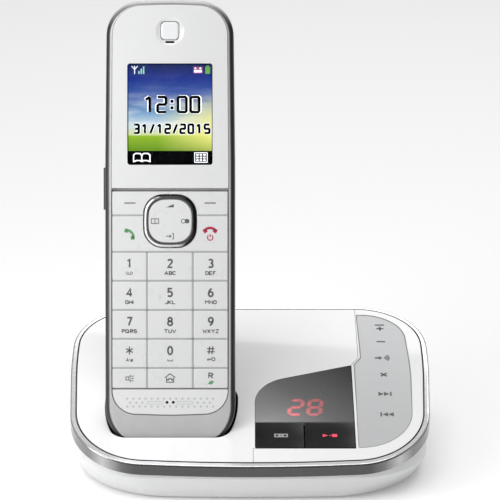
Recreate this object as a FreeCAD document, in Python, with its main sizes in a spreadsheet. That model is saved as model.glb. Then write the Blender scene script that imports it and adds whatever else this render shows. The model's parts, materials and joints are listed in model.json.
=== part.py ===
import FreeCAD, Part
import math
import os
import Sketcher
from FreeCAD import Placement, Rotation, Vector

# Cordless telephone handset leaning back in the left half of a wedge-shaped answering-machine base.
# Base parts are drawn in the object's own frame: X to the right, Y to the rear, Z up, origin on the
# table under the base's middle. Handset parts are drawn in a frame of their own, X to the right,
# Y from the keypad to the back cover, Z from the chin to the earpiece, and then leaned into the cradle.

SIZES = {
    # base outline and wedge
    "base_half_width": 68.5,
    "base_front_half_width": 65.3,
    "base_rear_half_width": 68.0,
    "base_rear": 48.6,
    "base_front_side": 46.1,
    "base_front_bow": 49.5,
    "base_front_radius": 29,
    "base_rear_radius": 27.5,
    "base_bow_radius": 600,
    "base_side_bow_radius": 270,
    "base_widest": 9,
    "wedge_front": 15.3,
    "wedge_rise": 26.4,
    "wedge_bulge": 6.4,
    "wedge_run": 94,
    "ring_width": 1.9,
    "ring_front_height": 3.8,
    "ring_middle_height": 5.2,
    "ring_rear_height": 6.0,
    "ring_lip_radius": 0.8,
    "groove": 0.6,
    "cover_thickness": 2.0,
    "skirt_depth": 4.6,
    "skirt_inset": 3.6,
    "skirt_thickness": 1.4,
    # lower housing
    "foot_half_width": 64.8,
    "foot_front_half_width": 62.6,
    "foot_rear_half_width": 64.4,
    "foot_rear": 46.2,
    "foot_front_side": 42.4,
    "foot_front_bow": 44.6,
    "foot_front_radius": 36,
    "foot_rear_radius": 26,
    "housing_bottom": 1.0,
    "flare_top": 9.5,
    "housing_inset": 1.0,
    "housing_wall": 2.2,
    "floor_top": 3.0,
    # handset
    "lean": 17,
    "handset_x": -29.3,
    "handset_y": -32.9,
    "handset_z": 19.94,
    "hand_half_width": 23.85,
    "hand_top_half_width": 23.2,
    "hand_bottom": -4.85,
    "hand_shoulder": 159.5,
    "hand_crown": 160.3,
    "hand_taper_start": 100,
    "hand_chin_radius": 15.85,
    "hand_top_radius": 13,
    "hand_front": 0.4,
    "hand_seam": 8.0,
    "hand_back": 26,
    "hand_back_round": 8.0,
    "hand_front_round": 2.2,
    "hand_wall": 1.8,
    "deck_front": 2.0,
    "deck_back": 3.2,
    # handset face
    "face_half_width": 21.35,
    "face_bottom": 8.5,
    "face_step": 91.2,
    "key_front": 0.5,
    "key_back": 2.5,
    "key_stem": 2.8,
    "key_edge": 21.2,
    "key_round": 0.35,
    "key_column": 8.4,
    "key_gap": 0.25,
    "nav_height": 79.1,
    "nav_radius": 8.05,
    "nav_ring_inner": 8.2,
    "nav_ring_outer": 9.7,
    "nav_ring_round": 1.2,
    "nav_clearance": 9.95,
    "screen_half_width": 15.6,
    "screen_low": 99.7,
    "screen_high": 136.8,
    "panel_back": 1.9,
    "keypad_half_width": 21.5,
    "keypad_low": 17.8,
    "keypad_high": 90.3,
    "strip_top": 17.35,
    "pinhole_height": 12.6,
    "side_key_low": 83.25,
    "side_key_high": 98.75,
    # inside the handset
    "mat_front": 3.4,
    "mat_back": 4.2,
    "board_front": 4.6,
    "board_back": 5.8,
    "bay_half_width": 17,
    "bay_low": 34,
    "bay_high": 92,
    "tray_half_width": 12,
    "tray_low": 38.2,
    "tray_high": 87.8,
    "tray_wall": 1.2,
    "cell_radius": 5.2,
    "cell_length": 43.3,
    "cell_low": 40.7,
    "cell_depth": 18.8,
    "cell_spread": 5.6,
    "charge_spread": 5.5,
    # cradle
    "cradle_gap": 1.0,
    "liner_thickness": 1.5,
    # sockets
    "line_socket_x": 12,
    "line_socket_z": 13.5,
    "power_socket_x": 32,
    "power_socket_z": 12.5,
    "power_bore": 2.9,
    "socket_face": 47.0,
    "power_bore_depth": 9.5,
    "opening_gap": 0.2,
    # screws, feet and posts
    "post_radius": 3.1,
    "head_radius": 2.2,
    "head_hole_radius": 2.5,
    "shaft_radius": 1.2,
    "shaft_hole_radius": 1.4,
    "pilot_radius": 1.3,
    "foot_radius": 4.0,
    # answering-machine corner
    "panel_thickness": 0.65,
    "seam": 0.15,
    "answer_key_depth": 3.0,
    "board_bottom": 6,
    "board_top": 7.6,
}

doc = FreeCAD.newDocument("cordless_phone")
sheet = doc.addObject("Spreadsheet::Sheet", "Sizes")
for row, (alias, value) in enumerate(SIZES.items(), start=1):
    sheet.set("A%d" % row, alias)
    sheet.set("B%d" % row, str(value))
    sheet.setAlias("B%d" % row, alias)
doc.recompute()

nodes = []

TINY = 1e-6
SAME_PLACE = 1e-4
LEAST_CUT = 1e-3
THROUGH = 90
ACROSS = Vector(1, 0, 0)
REARWARD = Vector(0, 1, 0)
UPWARD = Vector(0, 0, 1)


def size(alias):
    """The value of one driving dimension."""
    return float(sheet.get(alias))


def bound(expression):
    """An expression in which every driving dimension is read from the sheet."""
    text = str(expression)
    words = text.replace("(", " ( ").replace(")", " ) ").split()
    return " ".join("Sizes." + word if word in SIZES else word for word in words)


# Outlines: a closed polygon given as (x, y, corner radius), turning anticlockwise.

def inset(outline, distance):
    """The outline with every side moved inwards, or outwards if the distance is negative."""
    moved = []
    count = len(outline)
    for i in range(count):
        before, here, after = outline[i - 1], outline[i], outline[(i + 1) % count]
        side_in = Vector(here[0] - before[0], here[1] - before[1], 0).normalize()
        side_out = Vector(after[0] - here[0], after[1] - here[1], 0).normalize()
        normal_in = Vector(-side_in.y, side_in.x, 0)
        normal_out = Vector(-side_out.y, side_out.x, 0)
        bisector = normal_in + normal_out
        shift = bisector * (distance / (1 + normal_in.dot(normal_out)))
        moved.append((here[0] + shift.x, here[1] + shift.y, max(here[2] - distance, 0)))
    return moved


def mirrored(right_half):
    """A whole outline from the corners of its right half, listed from the bottom up."""
    return right_half + [(-x, y, r) for x, y, r in reversed(right_half) if x > 0]


def block(left, right, low, high, radius=0):
    """A rectangle as an outline."""
    return [(left, low, radius), (right, low, radius), (right, high, radius), (left, high, radius)]


def outline_edges(outline):
    """The outline's straight sides and corner arcs."""
    starts, ends, arcs = [], [], []
    count = len(outline)
    for i in range(count):
        before, here, after = outline[i - 1], outline[i], outline[(i + 1) % count]
        corner = Vector(here[0], here[1], 0)
        side_in = (corner - Vector(before[0], before[1], 0)).normalize()
        side_out = (Vector(after[0], after[1], 0) - corner).normalize()
        turn = side_in.getAngle(side_out)
        tangent = here[2] * math.tan(turn / 2)
        if tangent < TINY:
            starts.append(corner)
            ends.append(corner)
            arcs.append(None)
            continue
        first, last = corner - side_in * tangent, corner + side_out * tangent
        bend = here[2] * (1 / math.cos(turn / 2) - 1)
        middle = corner + (side_out - side_in).normalize() * bend
        starts.append(first)
        ends.append(last)
        arcs.append(Part.Arc(first, middle, last))
    edges = []
    for i in range(count):
        if arcs[i]:
            edges.append(arcs[i])
        if (starts[(i + 1) % count] - ends[i]).Length > TINY:
            edges.append(Part.LineSegment(ends[i], starts[(i + 1) % count]))
    return edges


# Building blocks

def sketch_in(body, role, level, edges):
    """A sketch on one of the body's origin planes, moved along the plane's axis to the given level."""
    sketch = body.newObject("Sketcher::SketchObject", body.Name + "_sketch")
    plane = [feature for feature in body.Origin.OriginFeatures if feature.Role == role][0]
    sketch.AttachmentSupport = [(plane, "")]
    sketch.MapMode = "FlatFace"
    sign = "-1" if role == "XZ_Plane" else "1"
    sketch.setExpression("AttachmentOffset.Base.z", bound("%s * ( %s )" % (sign, level)))
    sketch.addGeometry(edges, False)
    return sketch


def prism(name, role, edges, low, high):
    """A body padded from one level to another along the axis of an origin plane."""
    body = doc.addObject("PartDesign::Body", name)
    sketch = sketch_in(body, role, low, edges)
    pad = body.newObject("PartDesign::Pad", name + "_pad")
    pad.Profile = sketch
    pad.setExpression("Length", bound("( %s ) - ( %s )" % (high, low)))
    pad.Reversed = role == "XZ_Plane"
    doc.recompute()
    return body


def upright(name, outline, low, high):
    """An outline seen from above, raised between two heights."""
    return prism(name, "XY_Plane", outline_edges(outline), low, high)


def facing(name, outline, front, back):
    """An outline seen from the handset's front, between two depths."""
    return prism(name, "XZ_Plane", outline_edges(outline), front, back)


def rounded(body, radius, edge_test):
    """A fillet on those edges of the body's last feature that pass a test."""
    base = body.Tip
    names = ["Edge%d" % (i + 1) for i, edge in enumerate(base.Shape.Edges) if edge_test(edge)]
    fillet = body.newObject("PartDesign::Fillet", body.Name + "_fillet")
    fillet.Base = (base, names)
    fillet.setExpression("Radius", bound(radius))
    doc.recompute()
    return body


def at_depth(depth):
    """A test for edges that lie in the plane of one depth of the handset."""
    def lies_there(edge):
        box = edge.BoundBox
        return box.YLength < SAME_PLACE and abs(box.YMin - depth) < SAME_PLACE
    return lies_there


def joined(name, parts):
    """Pieces fused into one solid."""
    fuse = doc.addObject("Part::MultiFuse", name)
    fuse.Shapes = parts
    fuse.Refine = True
    doc.recompute()
    return fuse


def shared(name, parts):
    """The space that all the pieces share."""
    common = doc.addObject("Part::MultiCommon", name)
    common.Shapes = parts
    doc.recompute()
    return common


def without(name, base, tools):
    """The base with every tool cut away; each tool must remove something."""
    for i, tool in enumerate(tools):
        cut = doc.addObject("Part::Cut", "%s_%d" % (name, i))
        cut.Base = base
        cut.Tool = tool
        doc.recompute()
        if cut.Shape.Volume > base.Shape.Volume - LEAST_CUT:
            raise ValueError("%s: tool %s removes nothing" % (name, tool.Name))
        base = cut
    return base


def rod(name, radius, length, place, direction):
    """A round bar from a point along a direction."""
    bar = doc.addObject("Part::Cylinder", name)
    bar.setExpression("Radius", bound(radius))
    bar.setExpression("Height", bound(length))
    bar.Placement = Placement(place, Rotation(UPWARD, direction))
    doc.recompute()
    return bar


def brick(name, x, y, z):
    """A box between pairs of coordinates, each pair a tuple of two numbers or dimension names."""
    box = doc.addObject("Part::Box", name)
    for axis, side, (low, high) in (("x", "Length", x), ("y", "Width", y), ("z", "Height", z)):
        box.setExpression(side, bound("( %s ) - ( %s )" % (high, low)))
        box.setExpression("Placement.Base." + axis, bound(low))
    doc.recompute()
    return box


def copies(name, piece, shifts):
    """Several placed copies of one piece as one shape."""
    shapes = []
    for shift in shifts:
        shape = piece.Shape.copy()
        shape.translate(shift)
        shapes.append(shape)
    group = doc.addObject("Part::Feature", name)
    group.Shape = Part.makeCompound(shapes)
    return group


def pair(spread):
    """The two shifts that place a part and its mirror twin."""
    return [Vector(-spread, 0, 0), Vector(spread, 0, 0)]


def keep(label, piece):
    """Names a finished sub-part."""
    piece.Label = label
    nodes.append(piece)
    return piece


def lean_rotation():
    """The turn that leans the handset's frame back into the cradle."""
    return Rotation(ACROSS, -size("lean"))


def keep_leaning(label, piece):
    """Names a finished sub-part drawn in the handset's frame and leans it into the cradle."""
    if piece.TypeId in ("Part::Box", "Part::Cylinder"):
        holder = doc.addObject("Part::Compound", label + "_holder")
        holder.Links = [piece]
        piece.Label = label + "_blank"
        doc.recompute()
        piece = holder
    piece.Placement = Placement(Vector(0, 0, 0), lean_rotation())
    for axis in "xyz":
        piece.setExpression("Placement.Base." + axis, bound("handset_" + axis))
    doc.recompute()
    return keep(label, piece)


def leaning_tool(name, piece):
    """A copy of a handset-frame piece, leaned into the cradle, for cutting base parts."""
    tool = doc.addObject("Part::Feature", name)
    tool.Shape = piece.Shape.copy()
    tool.Placement = Placement(Vector(*(size("handset_" + axis) for axis in "xyz")), lean_rotation())
    return tool


# Shapes that several parts share

def table_outline(part):
    """The base's or its foot's outline: bowed front and sides, round corners, straight rear."""
    return mirrored([
        (0, -size(part + "_front_bow"), size("base_bow_radius")),
        (size(part + "_front_half_width"), -size(part + "_front_side"), size(part + "_front_radius")),
        (size(part + "_half_width"), size("base_widest"), size("base_side_bow_radius")),
        (size(part + "_rear_half_width"), size(part + "_rear"), size(part + "_rear_radius")),
    ])


SOFT_BEND = 300
CROWN_RADIUS = 150
FACE_TOP_RADIUS = 10.8
FACE_CHIN_RADIUS = 8.8
FACE_SHOULDER = 157.5
FACE_CROWN = 158.4
FACE_TAPER = 0.45
FACE_CHIN_BOW = 0.7

base_outline = table_outline("base")
foot_outline = table_outline("foot")
hand_outline = [
    (size("hand_half_width"), size("hand_bottom"), size("hand_chin_radius")),
    (size("hand_half_width"), size("hand_taper_start"), SOFT_BEND),
    (size("hand_top_half_width"), size("hand_shoulder"), size("hand_top_radius")),
    (0, size("hand_crown"), CROWN_RADIUS),
    (-size("hand_top_half_width"), size("hand_shoulder"), size("hand_top_radius")),
    (-size("hand_half_width"), size("hand_taper_start"), SOFT_BEND),
    (-size("hand_half_width"), size("hand_bottom"), size("hand_chin_radius")),
]
face_outline = [
    (0, size("face_bottom") - FACE_CHIN_BOW, CROWN_RADIUS),
    (size("face_half_width"), size("face_bottom"), FACE_CHIN_RADIUS),
    (size("face_half_width"), size("hand_taper_start"), SOFT_BEND),
    (size("face_half_width") - FACE_TAPER, FACE_SHOULDER, FACE_TOP_RADIUS),
    (0, FACE_CROWN, CROWN_RADIUS),
    (FACE_TAPER - size("face_half_width"), FACE_SHOULDER, FACE_TOP_RADIUS),
    (-size("face_half_width"), size("hand_taper_start"), SOFT_BEND),
    (-size("face_half_width"), size("face_bottom"), FACE_CHIN_RADIUS),
]

WEDGE_REACH = 54
WEDGE_SIDE = 75


def wedge_height(y):
    """The height of the base's top surface above the table."""
    along = (y + size("wedge_run") / 2) / size("wedge_run")
    return size("wedge_front") + size("wedge_rise") * along + size("wedge_bulge") * along * (1 - along)


def arc_height(y):
    """The height of the arc that stands for the top surface in the solids."""
    ends = [Vector(end, wedge_height(end), 0) for end in (-WEDGE_REACH, 0, WEDGE_REACH)]
    arc = Part.Arc(*ends).toShape().Curve
    centre, radius = arc.Center, arc.Radius
    return centre.y + math.sqrt(radius ** 2 - (y - centre.x) ** 2)


def wedge(name, top, bottom):
    """A layer between two offsets from the base's sloping top surface, wider than the base.

    An offset is one number, or three for the front, the middle and the rear."""
    ends = (-WEDGE_REACH, 0, WEDGE_REACH)
    tops = top if isinstance(top, tuple) else (top,) * 3
    bottoms = bottom if isinstance(bottom, tuple) else (bottom,) * 3
    upper = [Vector(y, wedge_height(y) + offset, 0) for y, offset in zip(ends, tops)]
    lower = [Vector(y, wedge_height(y) + offset, 0) for y, offset in zip(ends, bottoms)]
    edges = [
        Part.Arc(*upper),
        Part.LineSegment(upper[2], lower[2]),
        Part.Arc(*lower),
        Part.LineSegment(lower[0], upper[0]),
    ]
    return prism(name, "YZ_Plane", edges, -WEDGE_SIDE, WEDGE_SIDE)


def ring_bottom(gap=0.0):
    """The trim ring's lower edge as offsets from the top surface, less a gap."""
    return tuple(-size("ring_%s_height" % place) - gap for place in ("front", "middle", "rear"))


def follows_top(edge):
    """Whether an edge lies in the base's sloping top surface all along."""
    first, last = edge.ParameterRange
    points = [edge.valueAt(first + (last - first) * share) for share in (0, 0.3, 0.6, 1)]
    return all(abs(point.z - arc_height(point.y)) < LEAST_CUT for point in points)


def layer(name, outline, top, bottom):
    """A plate that follows the top surface: an outline seen from above, between two offsets."""
    column = upright(name + "_column", outline, 0, THROUGH)
    return shared(name, [column, wedge(name + "_wedge", top, bottom)])


# Handset parts

def handset_shell(name, offset, front, back, back_round):
    """The handset's outline between two depths with a rounded back."""
    body = facing(name, inset(hand_outline, offset), front, back)
    return rounded(body, back_round, at_depth(body.Shape.BoundBox.YMax))


def make_handset_frame():
    """Front frame: a rim round the whole face, the chin below it, and the deck behind the panels."""
    in_front, behind = -1, 9
    rim = facing("frame_rim", hand_outline, "hand_front", "hand_seam")
    rim = rounded(rim, "hand_front_round", at_depth(size("hand_front")))
    inner_wall = 1.7
    screen_gap = 1.0
    keypad = block(-size("keypad_half_width"), size("keypad_half_width"),
                   size("keypad_low"), size("keypad_high"))
    screen = block(-size("screen_half_width") - screen_gap, size("screen_half_width") + screen_gap,
                   size("screen_low") - 0.8, size("screen_high") + 0.9)
    mouth = block(-1.6, 1.6, size("pinhole_height") - 0.7, size("pinhole_height") + 0.5)
    tools = [
        facing("face_recess", inset(face_outline, -size("seam")), in_front, "deck_front"),
        facing("key_window", keypad, in_front, behind),
        facing("frame_hollow", inset(hand_outline, inner_wall), "deck_back", behind),
        facing("screen_hole", screen, in_front, behind),
        facing("sound_hole", block(-5, 5, 144, 149), in_front, behind),
        brick("side_key_slot", (-25, -22), (3.35, 6.35), ("side_key_low - seam", "side_key_high + seam")),
        facing("mic_hole", mouth, in_front, behind),
    ]
    keep_leaning("handset_frame", without("handset_frame", rim, tools))


def make_display_panel():
    """Glossy upper face with the screen window, the earpiece dimple and its light."""
    in_front, behind, beyond = -1, 3, 30
    gap = size("seam")
    plate = facing("panel_plate", face_outline, 0, "panel_back")
    half, low, high = size("screen_half_width"), size("screen_low"), size("screen_high")
    dimple_radius, dimple_depth, dimple_height = 14, 1.0, 148.6
    dimple = doc.addObject("Part::Sphere", "earpiece_dimple")
    dimple.Radius = dimple_radius
    dimple.Placement = Placement(Vector(0, dimple_depth - dimple_radius, dimple_height), Rotation())
    doc.recompute()
    tools = [
        facing("below_step", block(-beyond, beyond, 0, size("face_step")), -5, 5),
        facing("panel_window", block(-half, half, low, high, 1.0), in_front, behind),
        facing("light_hole", block(-3.45, 3.45, 145.3, 152.2, 1.4), in_front, behind),
        facing("ear_slot", block(-1.7, 1.7, 144.2, 145.0, 0.35), in_front, behind),
        dimple,
    ]
    keep_leaning("display_panel", without("display_panel", plate, tools))
    pane = block(gap - half, half - gap, low + gap, high - gap, 0.9)
    keep_leaning("display_window", facing("display_window", pane, 0.1, 1.85))
    overlap = 0.7
    module = block(-half - overlap, half + overlap, low - 0.5, high + 0.6)
    keep_leaning("display_module", facing("display_module", module, 2.2, 4.4))
    lens_front = 0.2
    lens = facing("indicator_lens", block(-3.3, 3.3, 145.5, 152.0, 1.5), lens_front, "panel_back")
    keep_leaning("indicator_lens", rounded(lens, 0.7, at_depth(lens_front)))


def make_microphone_cover():
    """White strip below the keys with two pinholes."""
    clearance = 0.22
    beyond = 30
    plate = facing("mic_plate", inset(face_outline, clearance), "key_front", "panel_back")
    above = block(-beyond, beyond, size("strip_top"), hand_top())
    tools = [facing("above_strip", above, -5, 5)]
    for i, x in enumerate((-1.15, 1.15)):
        place = Vector(x, -1, size("pinhole_height"))
        tools.append(rod("pinhole_%d" % i, 0.55, 4, place, REARWARD))
    keep_leaning("microphone_cover", without("microphone_cover", plate, tools))


def hand_top():
    """A height above the whole handset."""
    return size("hand_crown") + 10


def nav_outline(half):
    """The navigation disc's rounded square with bulging sides, at a given half width."""
    centre = size("nav_height")
    side_bulge = 0.3
    corner = half - side_bulge
    corner_radius = 0.73 * half
    side_radius = 24
    return mirrored([
        (0, centre - half, side_radius),
        (corner, centre - corner, corner_radius),
        (half, centre, side_radius),
        (corner, centre + corner, corner_radius),
        (0, centre + half, side_radius),
    ])


def make_key(label, left, right, low, high, around_nav=False):
    """One key cap with the stem behind it that presses the keypad mat."""
    corner, stem_half = 0.4, 2
    cap = facing(label + "_cap", block(left, right, low, high, corner), "key_front", "key_back")
    cap = rounded(cap, "key_round", at_depth(size("key_front")))
    outer = left if abs(left) > abs(right) else right
    stem_x = outer * 0.75 if around_nav else (left + right) / 2
    stem_z = (low + high) / 2
    stem_outline = block(stem_x - stem_half, stem_x + stem_half, stem_z - stem_half, stem_z + stem_half)
    stem = facing(label + "_stem", stem_outline, "key_back - 0.1", "key_stem")
    key = joined(label + "_blank", [cap, stem])
    if around_nav:
        nav_space = facing(label + "_bite", nav_outline(size("nav_clearance")), -1, 5)
        key = without(label + "_round", key, [nav_space])
    keep_leaning(label, key)


def make_keypad():
    """All key caps, the navigation disc with its ring, and the rubber mat behind them."""
    gap = size("key_gap")
    edge = size("key_edge")
    column = size("key_column")
    row_lines = [67.8, 57.2, 46.5, 35.9, 25.2, 17.6]
    spans = [(-edge, -column - gap), (-column + gap, column - gap), (column + gap, edge)]
    rows = [
        ("key_1", "key_2", "key_3"),
        ("key_4", "key_5", "key_6"),
        ("key_7", "key_8", "key_9"),
        ("key_star", "key_0", "key_hash"),
        ("speaker_key", "intercom_key", "recall_key"),
    ]
    for row, names in enumerate(rows):
        for (left, right), label in zip(spans, names):
            make_key(label, left, right, row_lines[row + 1] + gap, row_lines[row] - gap)
    soft_line, soft_top = 81.2, 90.0
    for side, soft_label, call_label in ((-1, "softkey_left", "talk_key"), (1, "softkey_right", "off_key")):
        left, right = sorted((side * edge, side * gap))
        make_key(soft_label, left, right, soft_line + gap, soft_top, around_nav=True)
        make_key(call_label, left, right, row_lines[0] + gap, soft_line - gap, around_nav=True)
    disc_front, ring_front = 0.3, 0.1
    disc = facing("nav_disc", nav_outline(size("nav_radius")), disc_front, "key_stem")
    keep_leaning("navigation_key", rounded(disc, 0.5, at_depth(disc_front)))
    ring = facing("nav_ring", nav_outline(size("nav_ring_outer")), ring_front, "key_back")
    ring = rounded(ring, "nav_ring_round", at_depth(ring_front))
    disc_space = facing("nav_disc_space", nav_outline(size("nav_ring_inner")), -1, 5)
    keep_leaning("navigation_ring", without("nav_ring_open", ring, [disc_space]))
    overlap = 0.3
    mat = block(-size("keypad_half_width") - overlap, size("keypad_half_width") + overlap,
                size("keypad_low") - 1.4, size("keypad_high") + 1.3, 1)
    keep_leaning("keypad_mat", facing("keypad_mat", mat, "mat_front", "mat_back"))


def make_handset_inside():
    """Circuit board, sound parts and the side key."""
    behind_deck = 3.3
    board = facing("handset_board", block(-21.2, 21.2, 6, 140, 3), "board_front", "board_back")
    keep_leaning("handset_circuit_board", board)
    earpiece_place = Vector(0, behind_deck, 150)
    keep_leaning("earpiece", rod("earpiece", 6.5, 3, earpiece_place, REARWARD))
    microphone_place = Vector(0, behind_deck, size("pinhole_height") - 0.1)
    keep_leaning("microphone", rod("microphone", 2, 1.1, microphone_place, REARWARD))
    ringer_place = Vector(0, size("board_back") + 12.2, 113)
    keep_leaning("ringer_speaker", rod("ringer_speaker", 11, 5, ringer_place, REARWARD))
    side_key = brick("side_key", (-24.5, -22.4), (3.5, 6.2), ("side_key_low", "side_key_high"))
    keep_leaning("side_key", side_key)


def bay_block(name, margin, depths):
    """The battery bay's rectangle, grown by a margin, between two depths."""
    half = size("bay_half_width") + margin
    return brick(name, (-half, half), depths, (size("bay_low") - margin, size("bay_high") + margin))


def make_handset_back():
    """Rear housing with the battery tray, a ledge for its cover, sound slots and plate pockets."""
    outer = handset_shell("back_outer", 0, "hand_seam + 0.1", "hand_back", "hand_back_round")
    inner = handset_shell("back_inner", size("hand_wall"), 7, "hand_back - hand_wall",
                          "hand_back_round - hand_wall")
    shell = without("back_shell", outer, [inner])
    open_shell = without("back_open", shell, [bay_block("cover_space", size("seam"), (15, 27))])
    ledge = bay_block("cover_ledge", 1.6, (22.5, 23.85))
    tray_front, tray_back, wall = 12.2, 22.6, size("tray_wall")
    half, low, high = size("tray_half_width"), size("tray_low"), size("tray_high")
    tray = brick("tray_block", (-half - wall, half + wall), (tray_front, tray_back),
                 (low - wall, high + wall))
    filled = joined("back_filled", [open_shell, ledge, tray])
    slot = facing("sound_slot", block(-8, 8, 108, 109.2, 0.5), 20, 27)
    slot_count, slot_pitch = 5, 2.6
    plate_pocket = brick("plate_pocket", (-2.3, 2.3), (9.9, 16.1), (-6, -4.3))
    tools = [
        brick("tray_hollow", (-half, half), (tray_front + wall, 27), (low, high)),
        copies("sound_slots", slot, [Vector(0, 0, step * slot_pitch) for step in range(slot_count)]),
        copies("plate_pockets", plate_pocket, pair(size("charge_spread"))),
    ]
    keep_leaning("handset_rear_housing", without("rear_housing", filled, tools))
    lid_space = bay_block("lid_space", 0, (15, 27))
    keep_leaning("battery_cover", shared("battery_cover", [shell, lid_space]))


def make_batteries():
    """Two cells, the spring and flat contacts at their ends, and the two charging plates."""
    spots = pair(size("cell_spread"))
    foot = Vector(0, size("cell_depth"), size("cell_low"))
    button_radius, button_height = 1.9, 1.1
    can = rod("cell_can", "cell_radius", "cell_length", foot, UPWARD)
    button = rod("cell_button", button_radius, size("cell_length") + button_height, foot, UPWARD)
    cell = joined("cell", [can, button])
    keep_leaning("battery_cells", copies("battery_cells", cell, spots))

    contact_depths = (13.6, 23.5)
    thickness = 0.4
    low_start = size("tray_low") + 0.1
    high_start = size("tray_high") - 0.7
    low_plate = brick("low_plate", (-4, 4), contact_depths, (low_start, low_start + thickness))
    high_plate = brick("high_plate", (-4, 4), contact_depths, (high_start, high_start + thickness))
    coil_turns = [low_plate]
    for turn in range(3):
        coil = doc.addObject("Part::Torus", "contact_coil_%d" % turn)
        coil.Radius1 = 3.2 - 0.5 * turn
        coil.Radius2 = 0.35
        coil_height = low_start + 0.6 + 0.45 * turn
        coil.Placement = Placement(Vector(0, size("cell_depth"), coil_height), Rotation())
        coil_turns.append(coil)
    doc.recompute()
    both_ends = doc.addObject("Part::Compound", "both_ends")
    both_ends.Links = [joined("spring_end", coil_turns), high_plate]
    doc.recompute()
    keep_leaning("battery_contacts", copies("battery_contacts", both_ends, spots))
    plate = brick("charge_plate", (-2.2, 2.2), (10, 16), (-4.8, -4.35))
    keep_leaning("charge_plates", copies("charge_plates", plate, pair(size("charge_spread"))))


# Cradle

def cradle_form(name, offset):
    """The handset's lower end, grown by an offset on every side."""
    front = size("hand_front") - 0.05 - offset
    body = facing(name, inset(hand_outline, -offset), front, size("hand_back") + offset)
    body = rounded(body, size("hand_back_round") + offset, at_depth(size("hand_back") + offset))
    return rounded(body, size("hand_front_round") + offset, at_depth(front))


def make_cradle():
    """Black cradle liner and the two sprung charging contacts that stand in its floor."""
    gap = size("cradle_gap")
    hollow = cradle_form("cradle_hollow", gap)
    block_form = cradle_form("cradle_block", gap + size("liner_thickness"))
    leaned_hollow = leaning_tool("leaned_hollow", hollow)
    leaned_block = leaning_tool("leaned_block", block_form)
    under_cover = wedge("under_cover", -size("cover_thickness") - 0.1, -60)
    slot = brick("contact_slot", (-1.9, 1.9), (9.6, 16.4), (-9, -4))
    slots = leaning_tool("contact_slots", copies("slot_pair", slot, pair(size("charge_spread"))))
    trimmed = shared("liner_trimmed", [leaned_block, under_cover])
    keep("cradle_liner", without("cradle_liner", trimmed, [leaned_hollow, slots]))
    blade_half, blade_low, blade_tip, tip_radius = 1.5, -8.8, -4.95, 0.9
    for side, spot in zip(("left", "right"), pair(size("charge_spread"))):
        blade_outline = [
            (spot.x - blade_half, blade_low, 0),
            (spot.x + blade_half, blade_low, 0),
            (spot.x + blade_half, blade_tip, tip_radius),
            (spot.x - blade_half, blade_tip, tip_radius),
        ]
        keep_leaning("charge_contact_" + side, facing("charge_blade_" + side, blade_outline, 10, 16))
    return leaned_hollow


# Base parts

SHELL_FRONT = 33.5
LINE_SHELL_HALF_WIDTH = 7
LINE_SHELL_HALF_HEIGHT = 6.5
POWER_SHELL_HALF_WIDTH = 5
POWER_SHELL_HALF_HEIGHT = 5.5
HOUSING_TOP = 45


def housing_form(name, offset, bottom):
    """The lower housing's form: a flare up to the flare's top, then upright walls."""
    body = doc.addObject("PartDesign::Body", name)
    low = sketch_in(body, "XY_Plane", bottom, outline_edges(inset(foot_outline, offset)))
    wide = inset(base_outline, size("housing_inset") + offset)
    high = sketch_in(body, "XY_Plane", "flare_top", outline_edges(wide))
    loft = body.newObject("PartDesign::AdditiveLoft", name + "_loft")
    loft.Profile = low
    loft.Sections = [high]
    loft.Ruled = True
    doc.recompute()
    top_sketch = sketch_in(body, "XY_Plane", "flare_top", outline_edges(wide))
    pad = body.newObject("PartDesign::Pad", name + "_pad")
    pad.Profile = top_sketch
    pad.Length = HOUSING_TOP
    doc.recompute()
    return body


left_screws = [Vector(-59.3, -6, 0), Vector(-58.4, 29, 0)]
right_screws = [Vector(59.3, -6, 0), Vector(58.4, 29, 0)]
foot_spots = [Vector(-42, -32, 0), Vector(42, -32, 0), Vector(-48, 36, 0), Vector(42, 38, 0)]


def socket_opening(name, half_width, half_height):
    """The rear wall's opening for a socket, a little larger than the socket's shell."""
    x, z = size(name + "_socket_x"), size(name + "_socket_z")
    wide, tall = half_width + size("opening_gap"), half_height + size("opening_gap")
    return brick(name + "_opening", (x - wide, x + wide), (40, 60), (z - tall, z + tall))


def make_lower_housing():
    """White tray under the ring with feet, sound slots, screw posts and two rear openings."""
    ring_gap = 0.2
    outer = housing_form("housing_outer", 0, size("housing_bottom"))
    inner = housing_form("housing_inner", size("housing_wall"), size("floor_top"))
    above = wedge("above_ring", 60, ring_bottom(ring_gap))
    tub = without("housing_tub", outer, [inner, above])
    screw_spots = left_screws + right_screws
    table = Vector(0, 0, 0)
    post = rod("screw_post", "post_radius", 8, Vector(0, 0, size("housing_bottom")), UPWARD)
    full = joined("housing_full", [tub, copies("screw_posts", post, screw_spots)])
    head_hole = rod("head_hole", "head_hole_radius", 5, table, UPWARD)
    shaft_hole = rod("shaft_hole", "shaft_hole_radius", 12, table, UPWARD)
    foot_hole = rod("foot_hole", "foot_radius + 0.2", 1.6, table, UPWARD)
    slot = upright("grille_slot", block(-44, -20, 12, 13.6, 0.7), 0, 4)
    slot_count, slot_pitch = 7, 4
    tools = [
        copies("head_holes", head_hole, screw_spots),
        copies("shaft_holes", shaft_hole, screw_spots),
        copies("foot_holes", foot_hole, foot_spots),
        copies("grille_slots", slot, [Vector(0, slot_pitch * step, 0) for step in range(slot_count)]),
        socket_opening("line", LINE_SHELL_HALF_WIDTH, LINE_SHELL_HALF_HEIGHT),
        socket_opening("power", POWER_SHELL_HALF_WIDTH, POWER_SHELL_HALF_HEIGHT),
    ]
    keep("base_lower_housing", without("lower_housing", full, tools))


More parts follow.
